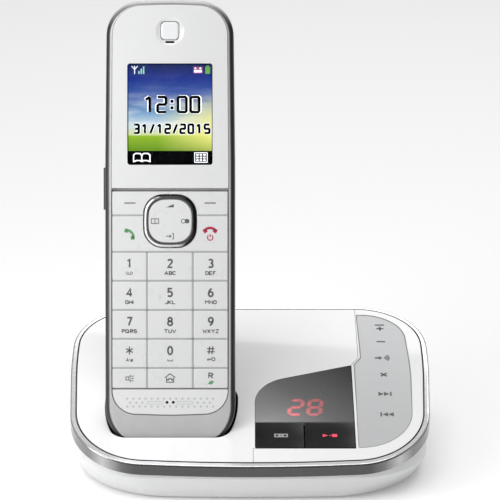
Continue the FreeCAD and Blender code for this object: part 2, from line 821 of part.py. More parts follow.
def make_feet_and_screws():
    """Four rubber feet and the four screws that hold the base together."""
    foot = rod("rubber_foot", "foot_radius", 1.55, Vector(0, 0, 0), UPWARD)
    keep("rubber_feet", copies("rubber_feet", foot, foot_spots))
    seat = Vector(0, 0, 3.3)
    head = rod("screw_head", "head_radius", 1.6, seat, UPWARD)
    shaft = rod("screw_shaft", "shaft_radius", 12, seat, UPWARD)
    screw = joined("case_screw", [head, shaft])
    keep("case_screws", copies("case_screws", screw, left_screws + right_screws))


# The answering-machine corner, seen from above.
KEYS_FRONT = -38.9
KEYS_REAR = -25.35
opening_outline = [(1.8, -39.1, 0.6), (38.6, -39.1, 0), (38.6, 8.2, 0.4), (1.8, -3.3, 15)]
window_outline = [(1.95, -25.0, 0.4), (38.45, -25.0, 0.4), (38.45, 8.0, 0.4), (1.95, -3.4, 14.8)]
panel_outline = [
    (39.7, -38.7, 0.4), (59.5, -38.7, 19.9), (61.3, 5, 200), (59.6, 42.1, 17),
    (41.9, 42.1, 0.5), (42.4, 12.9, 0), (39.7, 8.6, 0),
]
side_frame_region = [
    (1.1, -60, 0), (75, -60, 0), (75, 60, 0), (41.4, 60, 0), (41.4, 12.7, 0),
    (38.6, 8.3, 0), (38.6, -39.1, 0), (1.1, -39.1, 0),
]


def make_covers(cradle_hollow):
    """Top cover and the white side frame that carries the control panel."""
    plate_outline = inset(base_outline, size("ring_width") + size("groove"))
    plate = layer("cover_plate", plate_outline, 0, -size("cover_thickness"))
    skirt_outline = inset(base_outline, size("skirt_inset"))
    skirt_outer = layer("skirt_outer", skirt_outline, -1.5, -size("skirt_depth"))
    skirt_core = upright("skirt_core", inset(skirt_outline, size("skirt_thickness")), -1, THROUGH)
    skirt = without("skirt", skirt_outer, [skirt_core])
    shell = joined("cover_shell", [plate, skirt])
    keys_and_window = upright("opening_space", opening_outline, -1, THROUGH)
    region = upright("side_region", side_frame_region, -1, THROUGH)
    region_less_seam = upright("side_region_seam", inset(side_frame_region, size("seam")), -1, THROUGH)
    under = wedge("under_plate", -1, -60)
    post_low, pilot_low = 9.3, 9
    post = rod("cover_post", "post_radius", 50, Vector(0, 0, post_low), UPWARD)
    pilot = rod("pilot_hole", "pilot_radius", 8, Vector(0, 0, pilot_low), UPWARD)

    left_posts = shared("left_posts", [copies("left_post_pair", post, left_screws), under])
    main = without("main_cover_open", shell, [region, keys_and_window, cradle_hollow])
    main = joined("main_cover", [main, left_posts])
    keep("base_top_cover", without("top_cover", main, [copies("left_pilots", pilot, left_screws)]))

    recess_gap = 0.12
    recess = layer("panel_recess", inset(panel_outline, -recess_gap), 2, -size("panel_thickness") - 0.1)
    right_posts = shared("right_posts", [copies("right_post_pair", post, right_screws), under])
    side = shared("side_plate", [shell, region_less_seam])
    side = joined("side_with_posts", [without("side_open", side, [recess]), right_posts])
    side = without("side_frame", side, [copies("right_pilots", pilot, right_screws)])
    keep("base_side_frame", side)
    keep("control_panel", layer("control_panel", panel_outline, 0, -size("panel_thickness")))


def make_trim_ring():
    """Bright ring round the base's top edge, with a rounded outer lip."""
    band = layer("ring_band", base_outline, 0, ring_bottom())
    lip = doc.addObject("Part::Fillet", "ring_lip")
    lip.Base = band
    radius = size("ring_lip_radius")
    lip.Edges = [(i + 1, radius, radius) for i, edge in enumerate(band.Shape.Edges) if follows_top(edge)]
    doc.recompute()
    bore = upright("ring_bore", inset(base_outline, size("ring_width")), -1, THROUGH)
    keep("base_trim_ring", without("trim_ring", lip, [bore]))


def make_answering_panel():
    """Smoked window, number display, two black keys and the dark tray that holds them."""
    keep("message_window", layer("message_window", window_outline, -0.05, -1.6))
    for label, left, right in (("answer_key", 2.0, 19.7), ("play_stop_key", 20.2, 38.4)):
        key_outline = block(left, right, KEYS_FRONT, KEYS_REAR, 0.4)
        keep(label, layer(label, key_outline, 0, -size("answer_key_depth")))
    tray_lip, window_lip, key_room = 1.4, 1.2, 0.25
    tray_form = layer("tray_form", inset(opening_outline, -tray_lip), -2.15, -9.5)
    window_well = layer("window_well", inset(window_outline, window_lip), 1, -8.5)
    key_space = block(2.0 - key_room, 38.4 + key_room, KEYS_FRONT - 0.2, KEYS_REAR + key_room)
    key_well = layer("key_well", key_space, 1, -size("answer_key_depth") - 2.0)
    keep("display_tray", without("display_tray", tray_form, [window_well, key_well]))
    keep("message_counter", layer("message_counter", block(12.2, 28.8, -23.4, -9.6), -3.2, -8.4))


def make_panel_switches():
    """The switch board under the control panel, with one dome for each printed symbol."""
    strip = layer("switch_strip", block(46, 54, -27, 38, 1), -5.6, -6.8)
    across, drop = 50.8, 5.9
    slope = Vector(0, -0.3, 1)
    domes = []
    for i, y in enumerate((33.2, 23.5, 12.8, 2.3, -9.2, -20.9)):
        place = Vector(across, y, wedge_height(y) - drop)
        domes.append(rod("switch_%d" % i, 2.6, 3.2, place, slope))
    keep("panel_switches", joined("panel_switches", [strip] + domes))


def make_base_inside():
    """Main circuit board with its larger components, and the loudspeaker."""
    on_board = size("board_top") - 0.1
    parts = [
        brick("board", (0.5, 54), (-25, 33), ("board_bottom", "board_top")),
        brick("transformer", (38, 52), (8, 22), (on_board, 19)),
        brick("radio_can", (8, 26), (2, 20), (on_board, 10.5)),
        brick("processor", (10, 22), (-16, -4), (on_board, 9)),
        rod("large_capacitor", 3, 10, Vector(30, 24, on_board), UPWARD),
        rod("small_capacitor", 2.2, 10, Vector(30, 29, on_board), UPWARD),
    ]
    keep("base_circuit_board", joined("base_board", parts))
    speaker_place = Vector(-32, 24.8, size("floor_top") + 0.3)
    frame = rod("speaker_frame", 17, 3.5, speaker_place, UPWARD)
    magnet = rod("speaker_magnet", 9, 10, speaker_place, UPWARD)
    keep("base_loudspeaker", joined("base_loudspeaker", [frame, magnet]))


def socket_shell(name, half_width, half_height):
    """A socket's block behind the rear wall."""
    x, z = size(name + "_socket_x"), size(name + "_socket_z")
    across, up = (x - half_width, x + half_width), (z - half_height, z + half_height)
    return brick(name + "_shell", across, (SHELL_FRONT, "socket_face"), up)


def make_sockets():
    """The line socket with its latch way and the round power socket."""
    x, z = size("line_socket_x"), size("line_socket_z")
    mouth_depths = (36, 50)
    mouth = brick("line_mouth", (x - 4.9, x + 4.9), mouth_depths, (z - 3.4, z + 3.6))
    latch = brick("line_latch_way", (x - 1.7, x + 1.7), mouth_depths, (z + 3.5, z + 5.2))
    shell = socket_shell("line", LINE_SHELL_HALF_WIDTH, LINE_SHELL_HALF_HEIGHT)
    keep("line_socket", without("line_socket", shell, [mouth, latch]))
    bore_end = Vector(size("power_socket_x"), size("socket_face") - size("power_bore_depth"),
                      size("power_socket_z"))
    bore = rod("power_mouth", "power_bore", 20, bore_end, REARWARD)
    shell = socket_shell("power", POWER_SHELL_HALF_WIDTH, POWER_SHELL_HALF_HEIGHT)
    keep("power_socket", without("power_socket", shell, [bore]))


def check_and_write():
    """Stops if anything failed, then writes one file for each sub-part."""
    for item in doc.Objects:
        if "Invalid" in item.State or "Error" in item.State:
            raise ValueError("failed: %s %s" % (item.Name, item.State))
    labels = [node.Label for node in nodes]
    if len(set(labels)) != len(labels):
        raise ValueError("two sub-parts share a label")
    for node in nodes:
        if node.Shape.isNull() or not node.Shape.isValid() or not node.Shape.Solids:
            raise ValueError("bad shape: " + node.Label)
    os.makedirs("parts", exist_ok=True)
    for node in nodes:
        node.Shape.exportStep("parts/%s.step" % node.Label)
        print("%-24s %2d solid(s) %10.1f mm3" % (node.Label, len(node.Shape.Solids), node.Shape.Volume))
    print(len(nodes), "sub-parts")


make_handset_frame()
make_display_panel()
make_microphone_cover()
make_keypad()
make_handset_inside()
make_handset_back()
make_batteries()
leaned_cradle_hollow = make_cradle()
make_lower_housing()
make_feet_and_screws()
make_covers(leaned_cradle_hollow)
make_trim_ring()
make_answering_panel()
make_panel_switches()
make_base_inside()
make_sockets()
check_and_write()
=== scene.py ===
import json
import math
import bpy
import bmesh
from mathutils import Matrix, Vector
from mathutils.bvhtree import BVHTree


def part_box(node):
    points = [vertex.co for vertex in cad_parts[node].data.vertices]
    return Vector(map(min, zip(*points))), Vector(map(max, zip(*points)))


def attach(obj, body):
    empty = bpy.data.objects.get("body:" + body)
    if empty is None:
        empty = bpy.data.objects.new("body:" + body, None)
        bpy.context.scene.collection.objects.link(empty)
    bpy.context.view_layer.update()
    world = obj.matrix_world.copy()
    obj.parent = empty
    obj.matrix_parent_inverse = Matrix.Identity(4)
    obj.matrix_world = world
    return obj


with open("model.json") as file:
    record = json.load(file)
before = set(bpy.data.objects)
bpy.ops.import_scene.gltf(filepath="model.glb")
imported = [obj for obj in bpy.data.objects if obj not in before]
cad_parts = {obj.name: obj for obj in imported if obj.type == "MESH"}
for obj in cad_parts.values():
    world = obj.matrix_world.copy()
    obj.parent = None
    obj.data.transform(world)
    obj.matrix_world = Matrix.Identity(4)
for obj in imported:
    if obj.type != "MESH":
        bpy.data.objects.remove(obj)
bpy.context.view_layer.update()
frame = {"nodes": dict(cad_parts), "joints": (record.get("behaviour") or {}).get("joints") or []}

MM = 0.001
INK = 0.03 * MM  # how far a print stands above its surface
UPWARD = Vector((0, 0, 1))
joints = {joint["name"]: joint for joint in frame["joints"]}
nodes = frame["nodes"]

# The handset's own directions: across it, up along it, and out of its face.
RIGHT = Vector((1, 0, 0))
UP = Vector(joints["handset_lift"]["axis"]).normalized()
OUT = -Vector(joints["key_1_press"]["axis"]).normalized()
FACE = Matrix((RIGHT, UP, OUT)).transposed().to_4x4()


def face_box(node):
    """The node's lowest and highest (across, up, out) in the handset's directions."""
    points = [vertex.co for vertex in nodes[node].data.vertices]
    spans = [[point.dot(axis) for point in points] for axis in (RIGHT, UP, OUT)]
    return Vector([min(span) for span in spans]), Vector([max(span) for span in spans])


# ---------------------------------------------------------------- materials

PLASTIC_IOR = 1.49
SMOKED_IOR = 1.46
THIN_PANE_IOR = 1.08  # low, so that the pane hardly reflects over the screen
COAT_ROUGHNESS = 0.04
LIT_ROUGHNESS = 0.4
GRAIN_DEPTH = 0.1 * MM
# Noise scales, in patches to the metre.
PLASTIC_MOTTLE = 60
PLASTIC_GLOSS = 180
PLASTIC_GRAIN = 2600
METAL_MOTTLE = 90
METAL_BRUSHING = 160
METAL_GLOSS = 700
METAL_GRAIN = 1500
GLASS_MOTTLE = 40
GLASS_GLOSS = 300
LIT_MOTTLE = 900
EVEN = (1, 1, 1)  # coordinates that stretch no way


def new_material(name):
    material = bpy.data.materials.new(name)
    material.use_nodes = True
    tree = material.node_tree
    shader = tree.nodes["Principled BSDF"]
    return material, tree, shader


def coordinates(tree, scale):
    """Object coordinates times a scale, for patterns of a real size."""
    source = tree.nodes.new("ShaderNodeTexCoord")
    mapping = tree.nodes.new("ShaderNodeMapping")
    mapping.inputs["Scale"].default_value = scale
    tree.links.new(source.outputs["Object"], mapping.inputs["Vector"])
    return mapping.outputs["Vector"]


def noise(tree, vector, scale, detail=3.0):
    node = tree.nodes.new("ShaderNodeTexNoise")
    node.inputs["Scale"].default_value = scale
    node.inputs["Detail"].default_value = detail
    tree.links.new(vector, node.inputs["Vector"])
    return node.outputs["Fac"]


def ramp(tree, factor, stops):
    """A colour ramp from (position, colour) stops."""
    node = tree.nodes.new("ShaderNodeValToRGB")
    elements = node.color_ramp.elements
    while len(elements) < len(stops):
        elements.new(0.5)
    for element, (position, colour) in zip(elements, stops):
        element.position = position
        element.color = (*colour, 1.0)
    tree.links.new(factor, node.inputs["Fac"])
    return node.outputs["Color"]


def spread(tree, factor, low, high, start=0.0):
    """A factor that runs from start to 1, made to run from low to high."""
    node = tree.nodes.new("ShaderNodeMapRange")
    node.inputs["From Min"].default_value = start
    node.inputs["To Min"].default_value = low
    node.inputs["To Max"].default_value = high
    tree.links.new(factor, node.inputs["Value"])
    return node.outputs["Result"]


def along(tree, vector, axis):
    """How far a vector reaches along an axis."""
    node = tree.nodes.new("ShaderNodeVectorMath")
    node.operation = "DOT_PRODUCT"
    node.inputs[1].default_value = axis
    tree.links.new(vector, node.inputs[0])
    return node.outputs["Value"]


def mixed(tree, first, second, factor=1.0, blend="MIX"):
    """Two colours mixed; each of them, and the factor, is a constant or a node's output."""
    node = tree.nodes.new("ShaderNodeMix")
    node.data_type = "RGBA"
    node.blend_type = blend
    for name, value in (("Factor", factor), ("A", first), ("B", second)):
        if isinstance(value, bpy.types.NodeSocket):
            tree.links.new(value, node.inputs[name])
        else:
            node.inputs[name].default_value = value
    return node.outputs["Result"]


def multiplied(tree, first, second):
    return mixed(tree, first, second, blend="MULTIPLY")


def grey(level):
    return (level, level, level)


def tinted(colour, factor):
    return tuple(min(channel * factor, 1.0) for channel in colour)


def mottled(tree, vector, scale, dark, light, edges=(0.3, 0.7)):
    """A colour that drifts between two tones."""
    return ramp(tree, noise(tree, vector, scale), [(edges[0], dark), (edges[1], light)])


def painted_light_by_facing(tree, axis, stops):
    """A tone chosen by how far a surface faces along an axis, from -1 (away) to 1 (along it); this is how
    the script paints light, shade and reflection onto surfaces.
    """
    geometry = tree.nodes.new("ShaderNodeNewGeometry")
    share = spread(tree, along(tree, geometry.outputs["Normal"], axis), 0.0, 1.0, start=-1.0)
    return ramp(tree, share, [((at + 1) / 2, grey(level)) for at, level in stops])


def vary_gloss(tree, shader, vector, scale, low, high, detail=3.0):
    """A roughness that wanders between two values."""
    wander = noise(tree, vector, scale, detail)
    tree.links.new(spread(tree, wander, low, high), shader.inputs["Roughness"])


def add_grain(tree, shader, vector, scale, strength):
    """A fine tooth on the surface."""
    bump = tree.nodes.new("ShaderNodeBump")
    bump.inputs["Strength"].default_value = strength
    bump.inputs["Distance"].default_value = GRAIN_DEPTH
    tree.links.new(noise(tree, vector, scale), bump.inputs["Height"])
    tree.links.new(bump.outputs["Normal"], shader.inputs["Normal"])


def mould(tree, shader, vector, glossiest, dullest, grain, coat):
    """What all moulded plastic shares: uneven gloss, a fine grain and perhaps a clear coat."""
    vary_gloss(tree, shader, vector, PLASTIC_GLOSS, glossiest, dullest, detail=5.0)
    add_grain(tree, shader, vector, PLASTIC_GRAIN, grain)
    shader.inputs["IOR"].default_value = PLASTIC_IOR
    shader.inputs["Coat Weight"].default_value = coat
    shader.inputs["Coat Roughness"].default_value = COAT_ROUGHNESS


def plastic(name, colour, roughness, grain=0.02, coat=0.0, specular=0.5):
    """Moulded plastic of one colour with a faint mottle."""
    material, tree, shader = new_material(name)
    vector = coordinates(tree, EVEN)
    dark, light = tinted(colour, 0.992), tinted(colour, 1.003)
    tone = mottled(tree, vector, PLASTIC_MOTTLE, dark, light, (0.35, 0.65))
    tree.links.new(tone, shader.inputs["Base Color"])
    mould(tree, shader, vector, roughness * 0.8, roughness * 1.25, grain, coat)
    shader.inputs["Specular IOR Level"].default_value = specular
    return material


def metal(name, colour, roughness, streaks=EVEN, grain=0.01, contrast=0.05):
    """Plated or brushed metal; streaks stretch the grain."""
    material, tree, shader = new_material(name)
    vector = coordinates(tree, streaks)
    dark, light = tinted(colour, 1 - contrast), tinted(colour, 1 + contrast)
    tone = mottled(tree, vector, METAL_MOTTLE, dark, light)
    tree.links.new(tone, shader.inputs["Base Color"])
    vary_gloss(tree, shader, vector, METAL_GLOSS, roughness * 0.9, roughness * 1.1)
    add_grain(tree, shader, vector, METAL_GRAIN, grain)
    shader.inputs["Metallic"].default_value = 1.0
    return material


def glass(name, colour, roughness, ior):
    """Clear glass or acrylic with faint unevenness."""
    material, tree, shader = new_material(name)
    vector = coordinates(tree, EVEN)
    tone = mottled(tree, vector, GLASS_MOTTLE, tinted(colour, 0.98), colour, (0.4, 0.6))
    tree.links.new(tone, shader.inputs["Base Color"])
    vary_gloss(tree, shader, vector, GLASS_GLOSS, roughness * 0.6, roughness * 1.5)
    shader.inputs["Transmission Weight"].default_value = 1.0
    shader.inputs["IOR"].default_value = ior
    return material


def glow(name, colour, strength):
    """A lit display element with slightly uneven brightness."""
    material, tree, shader = new_material(name)
    tint = mottled(tree, coordinates(tree, EVEN), LIT_MOTTLE, tinted(colour, 0.85), colour)
    tree.links.new(tint, shader.inputs["Base Color"])
    tree.links.new(tint, shader.inputs["Emission Color"])
    shader.inputs["Emission Strength"].default_value = strength
    shader.inputs["Roughness"].default_value = LIT_ROUGHNESS
    return material


def plating(name, axis, stops, roughness, streaks=EVEN, metallic=0.85):
    """Plating with a painted reflection, its tone set by the way each surface faces, and a fine brushed
    grain.
    """
    material, tree, shader = new_material(name)
    vector = coordinates(tree, streaks)
    brushed = mottled(tree, vector, METAL_BRUSHING, grey(0.93), grey(1.0))
    # painted reflection: the tone follows the way each surface faces
    tone = multiplied(tree, painted_light_by_facing(tree, axis, stops), brushed)
    tree.links.new(tone, shader.inputs["Base Color"])
    vary_gloss(tree, shader, vector, METAL_GLOSS, roughness * 0.95, roughness * 1.05)
    add_grain(tree, shader, vector, METAL_GRAIN, 0.004)
    shader.inputs["Metallic"].default_value = metallic
    return material, tree, shader, tone


def rim_plating():
    """The handset's rim, toned by the way each surface faces: satin silver in front and dark plating round
    the sides, partly the rim's real colours and partly painted reflection, a near-black painted reflection
    on the rounded edge between them, and a painted highlight on top.
    """
    # painted tones by how far each surface faces out of the handset's face: partly real colours, partly
    # painted reflection
    tones = [(-1.0, 0.25), (0.0, 0.20), (0.35, 0.05), (0.86, 0.03), (0.945, 0.08), (0.985, 0.64),
             (1.0, 0.68)]
    material, tree, shader, tone = plating("rim_plating", OUT, tones, 0.3, metallic=0.35)
    # painted highlight on the surfaces that face up along the handset
    painted_top_highlight = painted_light_by_facing(tree, UP, [(0.15, 0.0), (0.55, 0.35), (0.8, 0.75), (1.0, 0.5)])
    tree.links.new(mixed(tree, tone, painted_top_highlight, blend="LIGHTEN"), shader.inputs["Base Color"])
    return material


def navigation_plating():
    """The ring round the navigation pad, with painted reflection and shade: bright where it faces the lower
    left, dark where it faces the upper right.
    """
    # painted reflection and shade, by the way each surface faces
    tones = [(-1.0, 0.75), (-0.35, 0.95), (-0.08, 0.55), (0.1, 0.03), (0.8, 0.008), (1.0, 0.05)]
    return plating("nav_chrome", (UP * 0.35 + RIGHT).normalized(), tones, 0.12)[0]


def ring_plating():
    """The base's ring, toned by the way each surface faces: a painted highlight on the upper lip over a
    dark band whose painted reflections make it lighter round the corners.
    """
    # painted shading: the more a surface faces up, the lighter
    tones = [(-1.0, 0.3), (0.25, 0.62), (0.6, 0.9), (0.97, 1.0), (1.0, 0.75)]
    material, tree, shader, tone = plating("ring_plating", UPWARD, tones, 0.2, streaks=(0.4, 0.4, 8))
    # painted reflection: the band lightens where it faces the sides, round the corners
    band = painted_light_by_facing(tree, RIGHT, [
        (-1.0, 0.50), (-0.72, 0.42), (-0.55, 0.85), (-0.3, 0.25), (-0.15, 0.17), (0.2, 0.17),
        (0.38, 0.35), (0.58, 0.95), (0.75, 0.45), (1.0, 0.5)])
    # painted highlight colour for the upward-facing lip
    lip_highlight = (0.95, 0.95, 0.96, 1)
    is_lip = painted_light_by_facing(tree, UPWARD, [(0.74, 0.0), (0.92, 1.0)])
    band_or_lip = mixed(tree, band, lip_highlight, factor=is_lip)
    tree.links.new(multiplied(tree, tone, band_or_lip), shader.inputs["Base Color"])
    return material


def cover_gloss():
    """The base cover's gloss white, with its cut edges in shade down in the grooves."""
    material, tree, shader = new_material("cover_gloss")
    vector = coordinates(tree, EVEN)
    tone = painted_light_by_facing(tree, UPWARD, [(-1.0, 0.4), (0.0, 0.06), (0.5, 0.10), (0.86, 0.86), (1.0, 0.86)])
    mottle = mottled(tree, vector, PLASTIC_MOTTLE, grey(0.985), grey(1.0), (0.35, 0.65))
    tree.links.new(multiplied(tree, tone, mottle), shader.inputs["Base Color"])
    mould(tree, shader, vector, 0.07, 0.11, grain=0.004, coat=0.5)
    return material


def smoked_glass():
    """Smoked acrylic with a painted reflection that makes it lighter towards the front left."""
    material, tree, shader = new_material("smoked_window")
    source = tree.nodes.new("ShaderNodeTexCoord")
    # painted reflection: the base colour is lighter towards the front left
    reach = along(tree, source.outputs["Generated"], (0.55, 0.45, 0.0))
    painted_reflection = ramp(tree, reach, [(0.0, grey(0.62)), (0.45, grey(0.24)), (0.95, grey(0.05))])
    tree.links.new(painted_reflection, shader.inputs["Base Color"])
    vary_gloss(tree, shader, coordinates(tree, EVEN), GLASS_GLOSS, 0.04, 0.08)
    shader.inputs["Transmission Weight"].default_value = 0.5
    shader.inputs["IOR"].default_value = SMOKED_IOR
    return material


def screen_material():
    """A landscape wallpaper: deep sky above, pale clouds, a warm glow to the right, grass below."""
    material, tree, shader = new_material("screen_picture")
    source = tree.nodes.new("ShaderNodeTexCoord")
    split = tree.nodes.new("ShaderNodeSeparateXYZ")
    tree.links.new(source.outputs["Generated"], split.inputs["Vector"])
    across, up = split.outputs["X"], split.outputs["Z"]
    colour = ramp(tree, up, [
        (0.0, (0.13, 0.30, 0.01)), (0.17, (0.30, 0.52, 0.02)), (0.19, (0.70, 0.80, 0.35)),
        (0.30, (0.62, 0.76, 0.84)), (0.44, (0.20, 0.38, 0.62)), (0.60, (0.045, 0.12, 0.42)),
        (0.84, (0.008, 0.028, 0.27)), (1.0, (0.010, 0.020, 0.10))])
    streaked = coordinates(tree, (60, 60, 260))
    clouds = ramp(tree, noise(tree, streaked, 1.0, 6.0), [(0.45, grey(0.0)), (0.64, grey(1.0))])
    cloud_band = ramp(tree, up, [
        (0.19, grey(0.0)), (0.32, grey(0.8)), (0.5, grey(0.45)), (0.68, grey(0.08)), (1.0, grey(0.0))])
    glow_side = ramp(tree, across, [(0.35, grey(0.0)), (1.0, grey(0.95))])
    glow_band = ramp(tree, up, [
        (0.0, grey(0.35)), (0.18, grey(1.0)), (0.4, grey(0.8)), (0.66, grey(0.0))])
    cloud_white = (0.88, 0.93, 0.96, 1)
    sun_yellow = (0.97, 0.92, 0.26, 1)
    for first, second, tint in ((clouds, cloud_band, cloud_white), (glow_side, glow_band, sun_yellow)):
        colour = mixed(tree, colour, tint, factor=multiplied(tree, first, second))
    tree.links.new(colour, shader.inputs["Emission Color"])
    shader.inputs["Base Color"].default_value = (0.02, 0.02, 0.02, 1)
    shader.inputs["Emission Strength"].default_value = 1.0
    shader.inputs["Roughness"].default_value = LIT_ROUGHNESS
    shader.inputs["Specular IOR Level"].default_value = 0.0
    return material


WHITE_GLOSS = plastic("white_gloss", (0.74, 0.743, 0.748), 0.09, 0.004, coat=0.6)
COVER_GLOSS = cover_gloss()
WHITE_SATIN = plastic("white_satin", (0.74, 0.743, 0.748), 0.32)
KEY_WHITE = plastic("key_white", (0.70, 0.703, 0.708), 0.28, 0.015)
WEB_GREY = plastic("web_grey", (0.40, 0.405, 0.41), 0.5, 0.03)
RING_PLATING = ring_plating()
NAVIGATION_PLATING = navigation_plating()
RIM_PLATING = rim_plating()
SILVER_FILM = metal("silver_film", (0.54, 0.545, 0.55), 0.42, (1, 6, 1), 0.02, contrast=0.012)
SMOKED = smoked_glass()
CLEAR = glass("clear_window", (0.97, 0.98, 0.99), 0.01, THIN_PANE_IOR)
BLACK_GLOSS = plastic("black_gloss", (0.008, 0.008, 0.009), 0.22, 0.004, specular=0.25)
BLACK_MATT = plastic("black_matt", (0.014, 0.014, 0.015), 0.45, 0.03)
SIDE_GREY = plastic("side_grey", (0.09, 0.09, 0.095), 0.35)
RUBBER = plastic("foot_rubber", (0.05, 0.05, 0.052), 0.75, 0.06)
SILICONE = plastic("silicone", (0.5, 0.505, 0.51), 0.6, 0.03)
BOARD = plastic("board_green", (0.02, 0.16, 0.07), 0.35, 0.05)
CONTACT = metal("contact_metal", (0.70, 0.68, 0.62), 0.25, streaks=(1, 1, 20))
SLEEVE = plastic("cell_sleeve", (0.10, 0.32, 0.40), 0.3, 0.01)
LENS = plastic("milky_lens", (0.80, 0.81, 0.83), 0.12, 0.004, coat=0.5)
PRINT = plastic("legend_grey", (0.10, 0.10, 0.105), 0.5, 0.01)
PRINT_LIGHT = plastic("legend_light", (0.20, 0.20, 0.205), 0.5, 0.01)
PRINT_GREEN = plastic("legend_green", (0.12, 0.33, 0.14), 0.5, 0.01)
PRINT_RED = plastic("legend_red", (0.42, 0.03, 0.08), 0.5, 0.01)
# grey that stands in for the shade inside the microphone cover's dimples and slots
DIMPLE_SHADE = plastic("dimple_shade", (0.52, 0.525, 0.53), 0.4)
EDGE_GREY = plastic("edge_grey", (0.27, 0.27, 0.275), 0.4, 0.01)
MARK_GREY = plastic("mark_grey", (0.34, 0.34, 0.35), 0.4)
SCREEN_BLACK = plastic("screen_black", (0.004, 0.004, 0.005), 0.25, 0.004, specular=0.0)
SCREEN_INK = plastic("screen_ink", (0.003, 0.003, 0.004), 0.4, 0.004, specular=0.0)
SCREEN = screen_material()
SCREEN_WHITE = glow("screen_white", (0.95, 0.96, 0.97), 0.8)
SCREEN_GREEN = glow("screen_green", (0.14, 0.42, 0.06), 0.35)
SCREEN_PALE_GREEN = glow("screen_pale_green", (0.30, 0.62, 0.50), 0.45)
SCREEN_RED = glow("screen_red", (0.36, 0.08, 0.22), 0.4)
LED_RED = glow("led_red", (1.0, 0.05, 0.09), 6.5)
KEY_RED = glow("key_red", (0.75, 0.05, 0.10), 0.4)


def paint(node, material):
    """Gives a CAD node its finish."""
    slots = nodes[node].material_slots
    for slot in slots:
        slot.material = material
    if not slots:
        nodes[node].data.materials.append(material)


def soften(node):
    """Rounds a CAD node's sharp edges, as a moulding has them."""
    piece = nodes[node]
    weld = piece.modifiers.new("weld", "WELD")
    weld.merge_threshold = 0.002 * MM
    bevel = piece.modifiers.new("bevel", "BEVEL")
    bevel.width = 0.3 * MM
    bevel.segments = 2
    bevel.limit_method = "ANGLE"
    bevel.angle_limit = math.radians(40)
    bevel.harden_normals = True


NODE_FINISH = {
    WHITE_GLOSS: ("display_panel",),
    COVER_GLOSS: ("base_top_cover", "base_side_frame"),
    WHITE_SATIN: ("microphone_cover", "handset_rear_housing", "battery_cover", "base_lower_housing"),
    RING_PLATING: ("base_trim_ring",),
    NAVIGATION_PLATING: ("navigation_ring",),
    RIM_PLATING: ("handset_frame",),
    SILVER_FILM: ("control_panel",),
    SMOKED: ("message_window",),
    CLEAR: ("display_window",),
    BLACK_GLOSS: ("answer_key", "play_stop_key"),
    BLACK_MATT: ("cradle_liner", "display_tray", "earpiece", "microphone", "ringer_speaker",
                 "base_loudspeaker", "line_socket", "power_socket"),
    SCREEN_BLACK: ("display_module", "message_counter"),
    RUBBER: ("rubber_feet",),
    SILICONE: ("keypad_mat",),
    BOARD: ("handset_circuit_board", "base_circuit_board", "panel_switches"),
    CONTACT: ("charge_plates", "charge_contact_left", "charge_contact_right", "battery_contacts",
              "case_screws"),
    SLEEVE: ("battery_cells",),
    LENS: ("indicator_lens",),
    SIDE_GREY: ("side_key",),
}
NUMBER_KEYS = ["key_" + name for name in "123456789"] + ["key_star", "key_0", "key_hash"]
LOW_KEYS = ["speaker_key", "intercom_key", "recall_key"]
CALL_KEYS = ["softkey_left", "softkey_right", "talk_key", "off_key"]
FLAT_KEYS = NUMBER_KEYS + LOW_KEYS + CALL_KEYS
for material, names in NODE_FINISH.items():
    for name in names:
        paint(name, material)
for name in FLAT_KEYS + ["navigation_key"]:
    paint(name, KEY_WHITE)


# ---------------------------------------------------------------- printed shapes
# A shape is a list of closed outlines in millimetres; each outline is a list of (x, y).
# Turns are in degrees.

def moved(shape, x, y, scale=1.0, turn=0.0):
    """The shape scaled and turned about its origin, which then goes to (x, y)."""
    cosine = math.cos(math.radians(turn)) * scale
    sine = math.sin(math.radians(turn)) * scale
    return [[(x + across * cosine - up * sine, y + across * sine + up * cosine)
             for across, up in outline] for outline in shape]


def bar(width, height, x=0.0, y=0.0, turn=0.0):
    """A rectangle centred on (x, y)."""
    half_w, half_h = width / 2, height / 2
    corners = [(-half_w, -half_h), (half_w, -half_h), (half_w, half_h), (-half_w, half_h)]
    return moved([corners], x, y, turn=turn)


def arc_band(radius, thickness, start, end, x=0.0, y=0.0, steps=24):
    """A bent band between two turns, as one outline for each step."""
    inner, outer = radius - thickness / 2, radius + thickness / 2
    turns = [math.radians(start + (end - start) * i / steps) for i in range(steps + 1)]
    band = []
    for here, after in zip(turns, turns[1:]):
        corners = ((inner, here), (outer, here), (outer, after), (inner, after))
        band.append([(x + reach * math.cos(turn), y + reach * math.sin(turn)) for reach, turn in corners])
    return band


def disc(radius, x=0.0, y=0.0, sides=16):
    turn = 2 * math.pi / sides
    return [[(x + radius * math.cos(i * turn), y + radius * math.sin(i * turn)) for i in range(sides)]]


def thick_line(points, width, closed=False):
    """A line of constant width with mitred corners, as one outline for each stretch."""
    count = len(points)
    shortest_mitre = 0.6
    sides = []
    for i in range(count):
        here = Vector(points[i])
        ways = []
        if closed or i > 0:
            ways.append((here - Vector(points[i - 1])).normalized())
        if closed or i < count - 1:
            ways.append((Vector(points[(i + 1) % count]) - here).normalized())
        forward = sum(ways, Vector((0, 0))).normalized()
        reach = width / 2 / max(forward.dot(ways[0]), shortest_mitre)
        aside = Vector((-forward.y, forward.x)) * reach
        sides.append((tuple(here - aside), tuple(here + aside)))
    stretches = list(zip(sides, sides[1:] + sides[:1]))
    if not closed:
        stretches.pop()
    return [[here[0], after[0], after[1], here[1]] for here, after in stretches]


def cut_corners(points, cut, closed=False):
    """The same line with each corner replaced by two points a little way before and after it."""
    count = len(points)
    result = []
    for i in range(count):
        here = Vector(points[i])
        if not closed and i in (0, count - 1):
            result.append(tuple(here))
            continue
        before = (Vector(points[i - 1]) - here).normalized() * cut
        after = (Vector(points[(i + 1) % count]) - here).normalized() * cut
        result += [tuple(here + before), tuple(here + after)]
    return result


